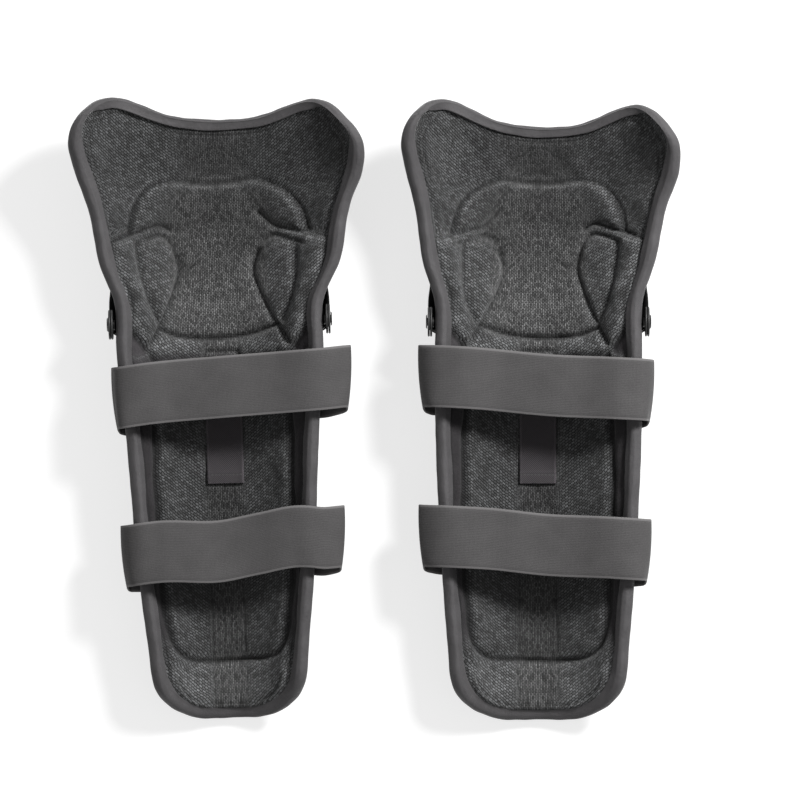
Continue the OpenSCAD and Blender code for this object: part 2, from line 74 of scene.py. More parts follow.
KNIT_TOP = FOAM_T + SEAT_GAP + KNIT_T
PLATE_HIGH = -SEAT_GAP
PLATE_LOW = PLATE_HIGH - SHELL_T
CUP_HIGH = PLATE_LOW - 2 * SEAT_GAP
CUP_LOW = CUP_HIGH - SHELL_T
SHIN_BASE = SHELL_T + SEAT_GAP - LAND
KNEE_BASE = -CUP_LOW - LAND
EAR_X = WAIST_HALF_W + 2 * TAPE_T + 3 * SEAT_GAP
CUP_EAR_X = EAR_X + EAR_T + SEAT_GAP
LAME_R = PIVOT_Z + LAND - SHELL_T - 0.9
CUP_R = PIVOT_Z + LAND
ANCHOR_LIFT = PLATE_LOW - 2 * SEAT_GAP
TAIL_LIFT = ANCHOR_LIFT - 2 * PATCH_T - 2 * SEAT_GAP


# -------- shape functions
def curve(stations, v):
    """Smooth curve through [place, value] stations, flat beyond its ends."""
    xs = np.array([p[0] for p in stations], float)
    ys = np.array([p[1] for p in stations], float)
    last = len(xs) - 1
    after = np.minimum(np.arange(last + 1) + 1, last)
    before = np.maximum(np.arange(last + 1) - 1, 0)
    rate = (ys[after] - ys[before]) / (xs[after] - xs[before])
    v = np.clip(np.asarray(v, float), xs[0], xs[-1])
    i = np.clip(np.searchsorted(xs, v, side="left") - 1, 0, last - 1)
    h = xs[i + 1] - xs[i]
    t = (v - xs[i]) / h
    start = (1 + 2 * t) * (1 - t) ** 2 * ys[i] + t * (1 - t) ** 2 * h * rate[i]
    return start + t * t * (3 - 2 * t) * ys[i + 1] + t * t * (t - 1) * h * rate[i + 1]


def mix(a, b, t):
    return a + (b - a) * t


def smooth(t):
    u = np.clip(t, 0, 1)
    return u * u * (3 - 2 * u)


def full_half_w(g, v):
    calf, lobe = CALF_HALF_W[g], LOBE_HALF_W[g]
    return curve([
        [0, ANKLE_HALF_W[g]],
        [0.12 * SHIN_LEN, ANKLE_HALF_W[g] + 1],
        [0.38 * SHIN_LEN, mix(ANKLE_HALF_W[g], calf, 0.6)],
        [0.7 * SHIN_LEN, calf],
        [SHIN_LEN - 22, WAIST_HALF_W],
        [SHIN_LEN + 16, WAIST_HALF_W],
        [SHIN_LEN + 0.3 * KNEE_LEN, mix(WAIST_HALF_W, lobe, 0.32)],
        [SHIN_LEN + 0.6 * KNEE_LEN, mix(WAIST_HALF_W, lobe, 0.58)],
        [SHIN_LEN + 0.86 * KNEE_LEN, lobe],
        [GUARD_LEN, lobe]], v)


def half_w(g, v):
    v = np.asarray(v, float)
    near = np.clip(1 - np.maximum(v, 1) / ANKLE_ROUND, 0, 1)
    end_round = (1 - near ** 2.5) ** 0.4
    past = np.maximum(v - SHIN_LEN - 0.86 * KNEE_LEN, 0) / (0.14 * KNEE_LEN)
    return full_half_w(g, v) * end_round * (1 - 0.08 * past ** 2)


def depth(v):
    return curve([
        [0, ANKLE_DEPTH],
        [0.35 * SHIN_LEN, SHIN_DEPTH],
        [SHIN_LEN, SHIN_DEPTH - 1],
        [SHIN_LEN + 0.5 * KNEE_LEN, mix(SHIN_DEPTH, LOBE_DEPTH, 0.7)],
        [GUARD_LEN, LOBE_DEPTH]], v)


def base_z(v):
    waist = PIVOT_Z - (LAME_R - SHELL_T) * math.cos(math.radians(30)) + 1
    return curve([
        [0, SHIN_BASE],
        [0.2 * SHIN_LEN, SHIN_BASE],
        [0.5 * SHIN_LEN, SHIN_BASE + 2],
        [0.78 * SHIN_LEN, SHIN_BASE + 5],
        [SHIN_LEN - 41, SHIN_BASE + 8],
        [SHIN_LEN - 24, waist],
        [SHIN_LEN + 10, PIVOT_Z - (LAME_R - SHELL_T) + 3],
        [SHIN_LEN + 0.35 * KNEE_LEN, KNEE_BASE],
        [SHIN_LEN + 0.57 * KNEE_LEN, KNEE_BASE],
        [SHIN_LEN + 0.75 * KNEE_LEN, KNEE_BASE + 0.22 * THIGH_LIFT],
        [GUARD_LEN, THIGH_LIFT]], v)


SAG = 1 - math.sqrt(1 - ROUNDNESS ** 2)


def edge_shift(v, s):
    wave = curve([[0, 0], [0.35, 0.2], [0.76, 1], [0.9, 0.8], [1, 0.25]], np.abs(s))
    return LOBE_RISE * wave * smooth((v - SHIN_LEN - 0.62 * KNEE_LEN) / (0.38 * KNEE_LEN))


def skin(g, v, s, lift):
    """Points lifted off the foam's outer face, at the distance v and the share s of the width."""
    v, s, lift = np.broadcast_arrays(*[np.asarray(a, float) for a in (v, s, lift)])
    full = full_half_w(g, v)
    x = half_w(g, v) * s
    u = x / full
    root = np.sqrt(1 - (ROUNDNESS * u) ** 2)
    slope = depth(v) * ROUNDNESS ** 2 * u / root / SAG / full
    n = 1 / np.sqrt(1 + slope * slope)
    z = base_z(v) + depth(v) * (1 - root) / SAG + lift * n
    return np.stack([x - lift * slope * n, v + edge_shift(v, s), z], -1)


def to_row(g, points):
    """Guard millimetres to metres in the shared frame."""
    turn = math.radians(LEFT_TURN if g == LEFT else 0)
    shift = -LEFT_OFFSET if g == LEFT else RIGHT_OFFSET
    points = np.asarray(points, float)
    x, y, z = points[..., 0], points[..., 1] - (GUARD_LEN + LOBE_RISE) / 2, points[..., 2]
    c, s = math.cos(turn), math.sin(turn)
    return np.stack([shift + x * c - y * s, x * s + y * c, z], -1) / 1000


def refine(points, times, closed=False):
    """Smooth curve through points, with this many steps between each two."""
    pts = np.asarray(points, float)
    n = len(pts)
    out = []
    for i in range(n if closed else n - 1):
        if closed:
            a, b, c, d = (pts[(i + k) % n] for k in (-1, 0, 1, 2))
        else:
            a, b, c, d = pts[max(i - 1, 0)], pts[i], pts[i + 1], pts[min(i + 2, n - 1)]
        for k in range(times):
            t = k / times
            out.append(0.5 * (2 * b + (c - a) * t + (2 * a - 5 * b + 4 * c - d) * t * t
                              + (3 * b - a - 3 * c + d) * t ** 3))
    if not closed:
        out.append(pts[-1])
    return np.array(out)


def line_distance(x, y, points):
    """Distance of each (x, y) from the line through points."""
    best = np.full(np.shape(x), 1e9)
    for (ax, ay), (bx, by) in zip(points[:-1], points[1:]):
        dx, dy = bx - ax, by - ay
        t = np.clip(((x - ax) * dx + (y - ay) * dy) / (dx * dx + dy * dy + 1e-12), 0, 1)
        best = np.minimum(best, (x - ax - t * dx) ** 2 + (y - ay - t * dy) ** 2)
    return np.sqrt(best)


def inside(x, y, points):
    """Whether each (x, y) lies inside the closed outline."""
    found = np.zeros(np.shape(x), bool)
    for (ax, ay), (bx, by) in zip(points, np.roll(points, -1, axis=0)):
        crosses = (ay > y) != (by > y)
        side = x < (bx - ax) * (y - ay) / (by - ay + 1e-12) + ax
        found ^= crosses & side
    return found


def lengths(rows):
    """Length run along each row of points."""
    return np.cumsum(np.linalg.norm(np.diff(rows, axis=1, prepend=rows[:, :1]), axis=2), axis=1)


def ripple(a, b, waves):
    """Sum of slow waves, each (height, waves per mm along a, along b, phase)."""
    return sum(h * np.sin(2 * math.pi * (fa * a + fb * b) + p) for h, fa, fb, p in waves)


# -------- the liner's sewn pads
# Lines of the left guard, as x and v; the right guard's are mirrored
DOME = [(-70, 358), (-69, 369), (-64, 382), (-55, 392), (-42, 397), (-26, 397), (-8, 395),
        (12, 396), (30, 398), (44, 394), (58, 386), (67, 373), (70, 358)]
FLEX_LEFT = [(-90, 352), (-81, 354), (-72, 358), (-60, 362), (-48, 365), (-40, 362)]
FLEX_LEFT_LOW = [(-66, 352), (-56, 356), (-46, 357), (-39, 351), (-35, 342)]
FLEX_RIGHT = [(34, 373), (40, 368), (48, 362), (58, 360), (68, 357), (78, 354), (90, 352)]
FLEX_RIGHT_LOW = [(36, 352), (46, 356), (56, 353), (66, 350)]
NECK_LEFT = [(-35, 342), (-33, 334), (-34, 326), (-39, 313), (-45, 300), (-51, 288), (-58, 276)]
NECK_RIGHT = [(33, 345), (29, 335), (29, 326), (35, 312), (42, 300), (49, 289), (58, 276)]
BELL_BASE = [(-50, 288), (-38, 283), (-25, 281), (-8, 280), (12, 281), (30, 284), (49, 290)]
SIDE_LEFT = [(-66, 352), (-65, 340), (-62, 322), (-57, 306), (-51, 292)]
SIDE_RIGHT = [(62, 350), (63, 338), (62, 320), (59, 306), (53, 293)]
OUTER_LEFT = [(-84, 353), (-81, 335), (-77, 315), (-73, 298), (-68, 284), (-60, 272), (-53, 262)]
OUTER_RIGHT = [(-x, v) for x, v in OUTER_LEFT]
PANEL = [(-53, 262), (-55, 240), (-56, 210), (-56, 170), (-55, 120), (-53, 90), (-50, 66),
         (-45, 50), (-35, 42), (-18, 40), (0, 40), (18, 41), (36, 42), (46, 50), (50, 66),
         (53, 90), (55, 120), (56, 170), (56, 210), (55, 240), (53, 262)]
NECK_HOOK = [(-35, 325), (-28, 331), (-19, 336)]
SLOT = [(-12, 270.5), (13, 270.5)]
SLOT_ENDS = [[(-14, 276), (-14, 258)], [(15, 276), (15, 258)]]
# Each seam is its line, its depth and its half width
PAD_SEAMS = [(DOME, 2.6, 1.4), (FLEX_LEFT, 3.0, 1.3), (FLEX_LEFT_LOW, 2.2, 1.2),
             (FLEX_RIGHT, 1.9, 1.5), (FLEX_RIGHT_LOW, 1.8, 1.2), (NECK_LEFT, 2.6, 1.6),
             (NECK_RIGHT, 2.1, 1.6), (BELL_BASE, 3.2, 1.4), (SIDE_LEFT, 1.8, 1.8),
             (SIDE_RIGHT, 1.5, 1.8), (OUTER_LEFT, 2.2, 2.2), (OUTER_RIGHT, 2.2, 2.2),
             (PANEL, 2.8, 1.9)]
PLEATS = [([(x, 12), (1.05 * x, 34)], deep, 0.9) for x, deep in
          ((-15, 0.9), (-9, 0.6), (-3, 0.6), (4, 0.6), (9, 0.6), (15, 0.9))]
PLEATS += [([(x, 46), (0.96 * x, 112)], deep, 1.0) for x, deep in
           ((-15, 1.4), (-10, 0.7), (-5, 0.9), (1, 0.7), (6, 0.9), (11, 0.7), (15, 1.4))]
FINE_SEAMS = [(NECK_HOOK, 1.9, 1.4), (SLOT, 2.8, 1.8)] + PLEATS
FINE_SEAMS += [(line, 1.8, 1.1) for line in SLOT_ENDS]
KNEE_PADS = DOME + OUTER_RIGHT + OUTER_LEFT[::-1]
SEAM_STEPS = 5
ANKLE_INSET, THIGH_INSET, EDGE_STEP, EASE_PASSES = 1.4, 0.5, 2.0, 14
LINER_ROWS, LINER_COLS = 300, 141
# Fabric this near an eased corner moves along; it is worked out for so many points at once
SETTLE_REACH, SETTLE_BATCH = 14, 4000
# How much the binding pinches the foam's thickness at the rim
RIM_PINCH = 4.5
LAP_PASSES = 10

# How far the fabric's edge stands out from its foam, in mm: at the two sides by distance from the
# ankle end, at the thigh edge by share of the width, and round the ankle end
SIDE_EASE = {
    (LEFT, -1): [[300, 0], [330, 1], [380, 1], [GUARD_LEN, 2]],
    (LEFT, 1): [[304, 0], [337, 5], [360, 5], [382, 6.5], [397, 8.5], [412, 6], [GUARD_LEN, 0]],
    (RIGHT, -1): [[300, 0], [330, 1], [GUARD_LEN, 1]],
    (RIGHT, 1): [[304, 0], [337, 1.5], [382, 4.4], [397, 6.6], [412, 4.4], [GUARD_LEN, 0]],
}
THIGH_EASE = ([[-1, 5], [-0.6, 4.5], [0, 3], [0.5, 1], [1, -1.5]],
              [[-1, 2.5], [-0.5, 0], [0, -2.5], [0.5, -3.5], [1, -2]])
ANKLE_EASE = (2.2, 3.6)


def ease(g, v, s):
    """Where the fabric's edge stands out from its foam, as moves in x, y and z."""
    v, s = np.asarray(v, float), np.asarray(s, float)
    near_side = smooth((np.abs(s) - 0.6) / 0.4)
    right = curve(SIDE_EASE[(g, 1)], v) * (s > 0)
    left = curve(SIDE_EASE[(g, -1)], v) * (s < 0)
    thigh = curve(THIGH_EASE[g], s) * smooth((v - GUARD_LEN + 50) / 50)
    ankle = ANKLE_EASE[g] * smooth((26 - v) / 26)
    return np.stack([(right - left) * near_side, thigh - ankle, 0 * v], -1)


def outline(g):
    """Edge of the liner in plan, as a closed run of evenly spaced [v, s] places."""
    sides = np.linspace(ANKLE_INSET, GUARD_LEN - THIGH_INSET, 1200)
    across = np.linspace(-1, 1, 400)[1:-1]
    down = [(v, -1.0) for v in sides[::-1]]
    bottom = [(sides[0], s) for s in across]
    up = [(v, 1.0) for v in sides]
    top = [(sides[-1], -s) for s in across]
    places = np.array(down + bottom + up + top)
    edge = skin(g, places[:, 0], places[:, 1], 0)
    run = np.cumsum(np.linalg.norm(np.diff(edge, axis=0, prepend=edge[:1]), axis=1))
    even = np.searchsorted(run, np.arange(0, run[-1] - 0.5 * EDGE_STEP, EDGE_STEP))
    return places[even]


def rounded(points, passes):
    """Closed run of points with its corners eased."""
    for _ in range(passes):
        points = (np.roll(points, 1, 0) + 2 * points + np.roll(points, -1, 0)) / 4
    return points


def settle(grid, sharp, shift):
    """Take the fabric near the outline's corners along as they are eased."""
    flat = grid.reshape(-1, 3)
    for start in range(0, len(flat), SETTLE_BATCH):
        part = flat[start:start + SETTLE_BATCH]
        apart = np.sum((part[:, None, :2] - sharp[None, :, :2]) ** 2, -1)
        near = np.argmin(apart, 1)
        fade = np.exp(-apart[np.arange(len(part)), near] / SETTLE_REACH ** 2)
        part += shift[near] * fade[:, None]
    return grid


def liner_face(g, v, s, to_edge):
    """Height of the padded face, how much it is pinched, and how its fabric looks there."""
    x = HAND[g] * half_w(LEFT, v) * s
    y = v + edge_shift(v, s)

    nearest = np.full(x.shape, 1e9)
    groove = np.zeros(x.shape)
    for line, deep, wide in PAD_SEAMS:
        d = line_distance(x, y, refine(line, SEAM_STEPS))
        nearest = np.minimum(nearest, d)
        groove = np.maximum(groove, deep * np.exp(-(d / wide) ** 2))
    for line, deep, wide in FINE_SEAMS:
        d = line_distance(x, y, line)
        groove = np.maximum(groove, deep * np.exp(-(d / wide) ** 2))

    pads = refine(KNEE_PADS, SEAM_STEPS, closed=True)
    pad_side = line_distance(x, y, np.vstack([pads, pads[:1]]))
    pad_side = np.where(inside(x, y, pads), 1, -1) * pad_side
    panel = refine(PANEL, SEAM_STEPS)
    panel_side = np.where(inside(x, y, panel), 1, -1) * line_distance(x, y, panel)
    knee = smooth((y - 262) / 10)
    field = smooth((y - 350) / 14)

    crown = 2.2 * (1 - np.exp(-(nearest / 3.6) ** 2)) + 1.2 * (1 - np.exp(-(nearest / 14) ** 2))
    knee_height = crown * smooth(pad_side / 4 + 0.5) - 3.4 * (1 - smooth(pad_side / 4 + 0.5))
    knee_height = knee_height + 1.0 * field * (1 - smooth(pad_side / 5 + 0.5))
    strip = (1 - smooth(panel_side / 4 + 0.5)) * smooth((y - 42) / 26)
    shin_height = 0.6 * crown - 3.0 * strip
    height = mix(shin_height, knee_height, knee) - groove
    height = height + ripple(x, y, [(0.35, 0.013, 0.019, 0.4), (0.25, 0.031, -0.022, 1.9),
                                    (0.18, -0.045, 0.037, 4.1), (0.10, 0.08, 0.061, 2.2)])
    # A piping line runs inside the binding along the thigh edge and round the ankle end
    ends = np.maximum(smooth((y - 385) / 25), smooth((34 - y) / 12))
    height = height + ends * (1.5 * np.exp(-((to_edge - 7.2) / 0.9) ** 2)
                              - 1.2 * np.exp(-((to_edge - 9.3) / 1.1) ** 2))
    height = height * smooth((to_edge - 3.6) / 3.0)
    pinch = RIM_PINCH * (1 - smooth((to_edge - 1.5) / 9))
    # Painted shade: dark lines in the colour beside the binding's lap and along the piping's inner
    # dip
    groove = np.maximum(groove, 2.6 * np.exp(-((to_edge - 5.2) / 0.8) ** 2))
    groove = np.maximum(groove, ends * 2.4 * np.exp(-((to_edge - 9.3) / 0.9) ** 2))

    plain = strip * (1 - knee)
    plain = np.maximum(plain, knee * (1 - smooth(pad_side / 3 + 0.5)) * smooth((290 - y) / 8))
    bell = smooth((66 - np.abs(x) - 0.2 * np.abs(y - 330)) / 24) * smooth((y - 278) / 6)
    middle = np.maximum(bell * smooth((404 - y) / 24), 0.85 * smooth((46 - np.abs(x)) / 34))
    coarse = 1 - np.where(y > 278, middle, smooth((24 - np.abs(x)) / 14))
    side_pad = smooth((x ** 2 - 38 ** 2) / 500) * smooth((352 - y) / 4) * smooth((y - 285) / 10)
    coarse = np.maximum(coarse, side_pad)
    # Dark seam thread, and painted shade in the seams' creases and beside the binding
    seam_thread_and_crease_shade = np.clip(groove / 3, 0, 1) ** 2
    # The pile's lighter and darker tones, partly painted light: painted highlights and painted
    # shade
    # Painted highlight on the bell, and on the strip below it
    pile_tone_and_painted_light = 0.9 * smooth((y - 279) / 3) * smooth((345 - y) / 34) * smooth((52 - np.abs(x)) / 12)
    pile_tone_and_painted_light = np.maximum(pile_tone_and_painted_light, 0.8 * smooth((y - 252) / 8) * smooth((281 - y) / 3))
    # Lighter at the ankle end
    pile_tone_and_painted_light = np.maximum(pile_tone_and_painted_light, 0.9 * smooth((40 - y) / 4))
    # Darker across the thigh band
    pile_tone_and_painted_light = pile_tone_and_painted_light - 0.42 * smooth((y - 352) / 12)
    # Painted shade over the shin strip, where the straps' shadows fall
    pile_tone_and_painted_light = pile_tone_and_painted_light - 0.38 * smooth((y - 40) / 8) * smooth((240 - y) / 20)
    # Painted highlights beside the pads' edges and along the seams
    pile_tone_and_painted_light = pile_tone_and_painted_light + 0.75 * knee * np.exp(-((pad_side - 3.0) / 1.3) ** 2)
    pile_tone_and_painted_light = pile_tone_and_painted_light + 0.45 * np.exp(-((nearest - 3.4) / 1.2) ** 2)
    return height, pinch, coarse, plain, seam_thread_and_crease_shade, pile_tone_and_painted_light


# -------- meshes
def make_piece(name, points, faces, material, cloth=None, **shares):
    """Object from points in metres. cloth is mm along and across its fabric, shares are 0 to 1."""
    mesh = bpy.data.meshes.new(name)
    mesh.from_pydata(points.reshape(-1, 3).tolist(), [], [list(map(int, f)) for f in faces])
    mesh.polygons.foreach_set("use_smooth", [True] * len(mesh.polygons))
    if cloth is not None:
        layer = mesh.attributes.new("cloth", "FLOAT_VECTOR", "POINT")
        layer.data.foreach_set("vector", np.asarray(cloth, float).reshape(-1))
    for label, values in shares.items():
        layer = mesh.attributes.new(label, "FLOAT", "POINT")
        layer.data.foreach_set("value", np.asarray(values, float).reshape(-1))
    mesh.materials.append(material)
    mesh.update()
    obj = bpy.data.objects.new(name, mesh)
    bpy.context.scene.collection.objects.link(obj)
    return obj


def slab_faces(n, m):
    """Faces of a closed slab: a top grid of n rows and m columns, then its bottom grid."""
    low = n * m
    faces = []
    for i in range(n - 1):
        for j in range(m - 1):
            k = i * m + j
            faces.append((k, k + 1, k + m + 1, k + m))
            faces.append((low + k, low + k + m, low + k + m + 1, low + k + 1))
    for i in range(n - 1):
        k = i * m
        faces.append((k, k + m, low + k + m, low + k))
        k += m - 1
        faces.append((k + m, k, low + k, low + k + m))
    for j in range(m - 1):
        faces.append((j + 1, j, low + j, low + j + 1))
        k = (n - 1) * m + j
        faces.append((k, k + 1, low + k + 1, low + k))
    return faces


def tube_faces(n, m, closed):
    """Faces of n rings of m points. An open tube gets a cap of strips at each end."""
    faces = []
    for i in range(n if closed else n - 1):
        for k in range(m):
            a, b = i * m + k, i * m + (k + 1) % m
            c, d = ((i + 1) % n) * m + (k + 1) % m, ((i + 1) % n) * m + k
            faces.append((a, b, c, d))
    if not closed:
        faces.append(tuple(range(m))[::-1])
        faces.append(tuple((n - 1) * m + k for k in range(m)))
    return faces


def cloth_grid(along, across):
    """Fabric places of a swept piece: mm along it and mm across it."""
    along, across = np.broadcast_arrays(along[:, None], across)
    return np.stack([along, across, 0 * along], -1)


def liner(g, look):
    """Padded liner: knit over foam, from the ankle end to the thigh edge in one piece."""
    side = SIDES[g]
    rows, cols = LINER_ROWS, LINER_COLS
    v = np.linspace(ANKLE_INSET, GUARD_LEN - THIGH_INSET, rows)[:, None] * np.ones((1, cols))
    s = np.sin(np.linspace(-1, 1, cols) * math.pi / 2 * 0.86)[None, :] * np.ones((rows, 1))
    s = s / s.max()
    places = outline(g)
    sharp = skin(g, places[:, 0], places[:, 1], 0) + ease(g, places[:, 0], places[:, 1])
    eased = rounded(sharp, EASE_PASSES)
    bottom = settle(skin(g, v, s, 0) + ease(g, v, s), sharp, eased - sharp)
    to_edge = line_distance(bottom[..., 0], bottom[..., 1], np.vstack([eased, eased[:1]])[:, :2])
    height, pinch, coarse, plain, seam_thread_and_crease_shade, pile_tone_and_painted_light = liner_face(g, v, s, to_edge)
    level, top = (settle(skin(g, v, s, lift) + ease(g, v, s), sharp, eased - sharp)
                  for lift in (KNIT_TOP - pinch, KNIT_TOP - pinch + height))

    points = to_row(g, np.concatenate([top.reshape(-1, 3), bottom.reshape(-1, 3)]))
    arc = lengths(top)
    arc = arc - arc[:, cols // 2][:, None]
    cloth = np.stack([HAND[g] * arc, top[..., 1], 0 * v], -1).reshape(-1, 3)
    # The underside has the knit's rows, and none of its seams, tones, painted highlights and
    # painted shade
    shares = {label: np.concatenate([grid.reshape(-1), under * grid.reshape(-1)])
              for label, grid, under in (("coarse", coarse, 1), ("plain", plain, 0),
                                         ("seam_thread_and_crease_shade", seam_thread_and_crease_shade, 0), ("pile_tone_and_painted_light", pile_tone_and_painted_light, 0))}
    faces = slab_faces(rows, cols)
    piece = make_piece(f"{side}_liner", points, faces, look["knit"],
                       cloth=np.concatenate([cloth, cloth]), **shares)
    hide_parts(f"{side}_shin_foam", f"{side}_knee_foam", f"{side}_shin_knit",
                f"{side}_knee_knit", f"{side}_waist_gusset")
    bend(piece)
    sheet = [f for f in faces if max(f) < rows * cols]
    return {label: BVHTree.FromPolygons(to_row(g, grid.reshape(-1, 3)).tolist(), sheet)
            for label, grid in (("relief", top), ("top", level), ("low", bottom))}


def bend(piece):
    """Fabric that crosses the knee pivots, with its place baked into its mesh."""
    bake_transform(piece)


# Binding's outside, from its inner lap round the edge to its lap underneath, then back inside.
# "top" and "low" are laps: distance in from the edge and height over the liner. "rim" is round
# the edge: height over the foam's outer face and distance out.
BINDING = [("top", 4.5, 0.2), ("top", 4.7, 0.7), ("top", 4.2, 1.3), ("top", 3.2, 1.7),
           ("top", 2.0, 1.8), ("top", 0.5, 1.7), ("rim", 6.7, 0.9), ("rim", 5.6, 1.8),
           ("rim", 3.4, 2.2), ("rim", 1.2, 2.0), ("rim", -0.8, 1.1), ("low", 0.8, 1.5),
           ("low", 3.0, 1.5), ("low", 5.4, 1.3), ("low", 6.0, 0.6), ("low", 5.6, 0.1),
           ("low", 1.0, 0.1), ("rim", 0.0, 0.3), ("rim", 5.9, 0.3), ("top", 1.0, 0.1),
           ("top", 4.2, 0.1)]


def binding(g, surfaces, look):
    """Tape folded round the liner's whole edge."""
    side = SIDES[g]
    places = outline(g)
    v, s = places[:, 0], places[:, 1]
    edge = rounded(skin(g, v, s, 0) + ease(g, v, s), EASE_PASSES)
    shift = edge - skin(g, v, s, 0)
    along = np.roll(edge, -1, 0) - np.roll(edge, 1, 0)
    up = unit(rounded(skin(g, v, s, 1) - skin(g, v, s, 0), EASE_PASSES))
    out = unit(rounded(unit(np.cross(along, up)), EASE_PASSES))
    middle = np.array([0, 0.5 * GUARD_LEN, 0])
    if np.sum((edge - middle) * out) < 0:
        out = -out
    run = np.cumsum(np.linalg.norm(np.diff(edge, axis=0, prepend=edge[-1:]), axis=1))
    turns = run / run[-1]
    lump = (0.35 * np.sin(2 * math.pi * 23 * turns + 1.1) + 0.22 * np.sin(2 * math.pi * 57 * turns)
            + 0.14 * np.sin(2 * math.pi * 91 * turns + 2.0))
    rings = []
    for kind, a, b in BINDING:
        if kind == "rim":
            ring = skin(g, v, s, a) + shift + (b + 0.5 * lump * (b > 1))[:, None] * out
            ring = to_row(g, ring)
        else:
            lift = KNIT_TOP if kind == "top" else 0
            guess = to_row(g, skin(g, v, s, lift) + shift - (a + lump * (a > 4))[:, None] * out)
            ring = []
            for point, facing, rise in zip(guess, to_row_direction(g, up), lump):
                spot = surfaces[kind].find_nearest(Vector(point))[0]
                sign = 1 if kind == "top" else -1
                high = b + (0.35 * rise if b > 1 else 0)
                ring.append(np.array(spot) + sign * facing * high / 1000)
            ring = rounded(np.array(ring), LAP_PASSES)
        rings.append(ring)
    rings = np.stack(rings, 1)
    section = np.stack([refine(r, 2, closed=True) for r in rings])
    n, m = section.shape[:2]
    across = 1000 * lengths(section)
    piece = make_piece(f"{side}_binding", section, tube_faces(n, m, True), look["binding"],
                       cloth=cloth_grid(run, across))
    fix_normals(piece)
    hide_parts(f"{side}_shin_binding", f"{side}_knee_binding")
    bend(piece)


def unit(vectors):
    return vectors / np.linalg.norm(vectors, axis=-1)[..., None]


def to_row_direction(g, directions):
    """Directions in a guard's frame to the shared frame."""
    return 1000 * (to_row(g, directions) - to_row(g, np.zeros_like(directions)))


def fix_normals(piece):
    """Turn a closed piece's faces outward."""
    bm = bmesh.new()
    bm.from_mesh(piece.data)
    bmesh.ops.recalc_face_normals(bm, faces=bm.faces)
    bm.to_mesh(piece.data)
    bm.free()
    piece.data.update()


# -------- straps
def strap_v(g, which):
    return (UPPER_STRAP_V if which == "upper" else LOWER_STRAP_V) + g * RIGHT_STRAP_SHIFT


def fold_xz(g, v, fold):
    return np.array([full_half_w(g, v) + fold, skin(g, v, 1, 0)[2] - 3])


def shell_xz(g, v, s, lift):
    return skin(g, v, s, lift)[[0, 2]]


def wrap_path(g, v, w, fold, lift):
    """Inner face from a fold round to the shell, on the +X side."""
    f = fold_xz(g, v, fold)
    low = (f - [5, 9] + shell_xz(g, v + w, 0.97, lift - 2)) / 2
    laid = [shell_xz(g, v + w, 0.92, lift - 0.7)]
    laid += [shell_xz(g, v + w, s, lift) for s in (0.85, 0.77, 0.69)]
    return [f, f - [1.2, 5], low] + laid


def rim_path(g, v, fold):
    """Inner face from a fold up over the rim, on the +X side."""
    f = fold_xz(g, v, fold)
    x = full_half_w(g, v)
    top = skin(g, v, 1, 0)[2]
    over = [(x + 0.35 * fold, top + 8.5), (x - 5, top + 11.6), (x - 18, top + 11.6),
            (x - 38, top + 8.5)]
    return [f, f + [-1.2, 5]] + [np.array(place) for place in over]


def flip(path):
    return [np.array([-p[0], p[1]]) for p in path]


# Sideways sway of each strap, as heights along it: [share of the half width, mm]
SWAY = {
    ("left", "upper"): [[-1.2, -1.5], [-0.7, 0.8], [0, 0.6], [0.6, 0], [1.2, -0.5]],
    ("left", "lower"): [[-1.2, 0], [-0.7, 1.2], [-0.1, -2.6], [0.35, 0.2], [0.8, 3.2], [1.2, -0.6]],
    ("right", "upper"): [[-1.2, 0.5], [-0.6, 1.0], [0.1, -0.6], [0.7, 0.4], [1.2, 1.0]],
    ("right", "lower"): [[-1.2, 0.4], [-0.5, 1.0], [0.1, -0.8], [0.7, 0.3], [1.2, 0.4]],
}


def strap_path(g, which, w):
    """Inner face of a whole strap, from its sewn end to its hooked end, and where it is joined."""
    v = strap_v(g, which)
    top = skin(g, v, 1, 0)[2]
    x = full_half_w(g, v)
    slide = STRAP_SLANT * 0.85 * CALF_HALF_W[g]
    taper = 1.6 * w / (STRAP_W / 2) + 1.2 * (1 - (w / (STRAP_W / 2)) ** 2)
    sewn_tuck, hooked_tuck = TUCK[(SIDES[g], which)]
    sewn_fold, hooked_fold = SEWN_FOLD - sewn_tuck + taper, HOOK_FOLD[g] - hooked_tuck + taper
    anchor = flip(wrap_path(g, v, w - slide, sewn_fold, ANCHOR_LIFT))[:0:-1]
    sewn = flip(rim_path(g, v, sewn_fold))
    middle = [np.array([-0.15 * x, top + 7.3]), np.array([0.15 * x, top + 7.0])]
    hooked = rim_path(g, v, hooked_fold)[::-1]
    tail = wrap_path(g, v, w + slide, hooked_fold, TAIL_LIFT)[1:]
    return anchor + sewn + middle + hooked + tail, len(anchor) + len(sewn)


PATH_STEPS, STRAP_LINES = 7, 13
# How far a strap slips towards the ankle below its folds, in mm
SLIP = 6.0
# How much closer to the rim the worn elastic lies than its CAD solid, at its sewn and hooked ends
TUCK = {("left", "upper"): (4.5, 0), ("right", "upper"): (2, 3.5), ("left", "lower"): (0, 0),
        ("right", "lower"): (0, 0)}


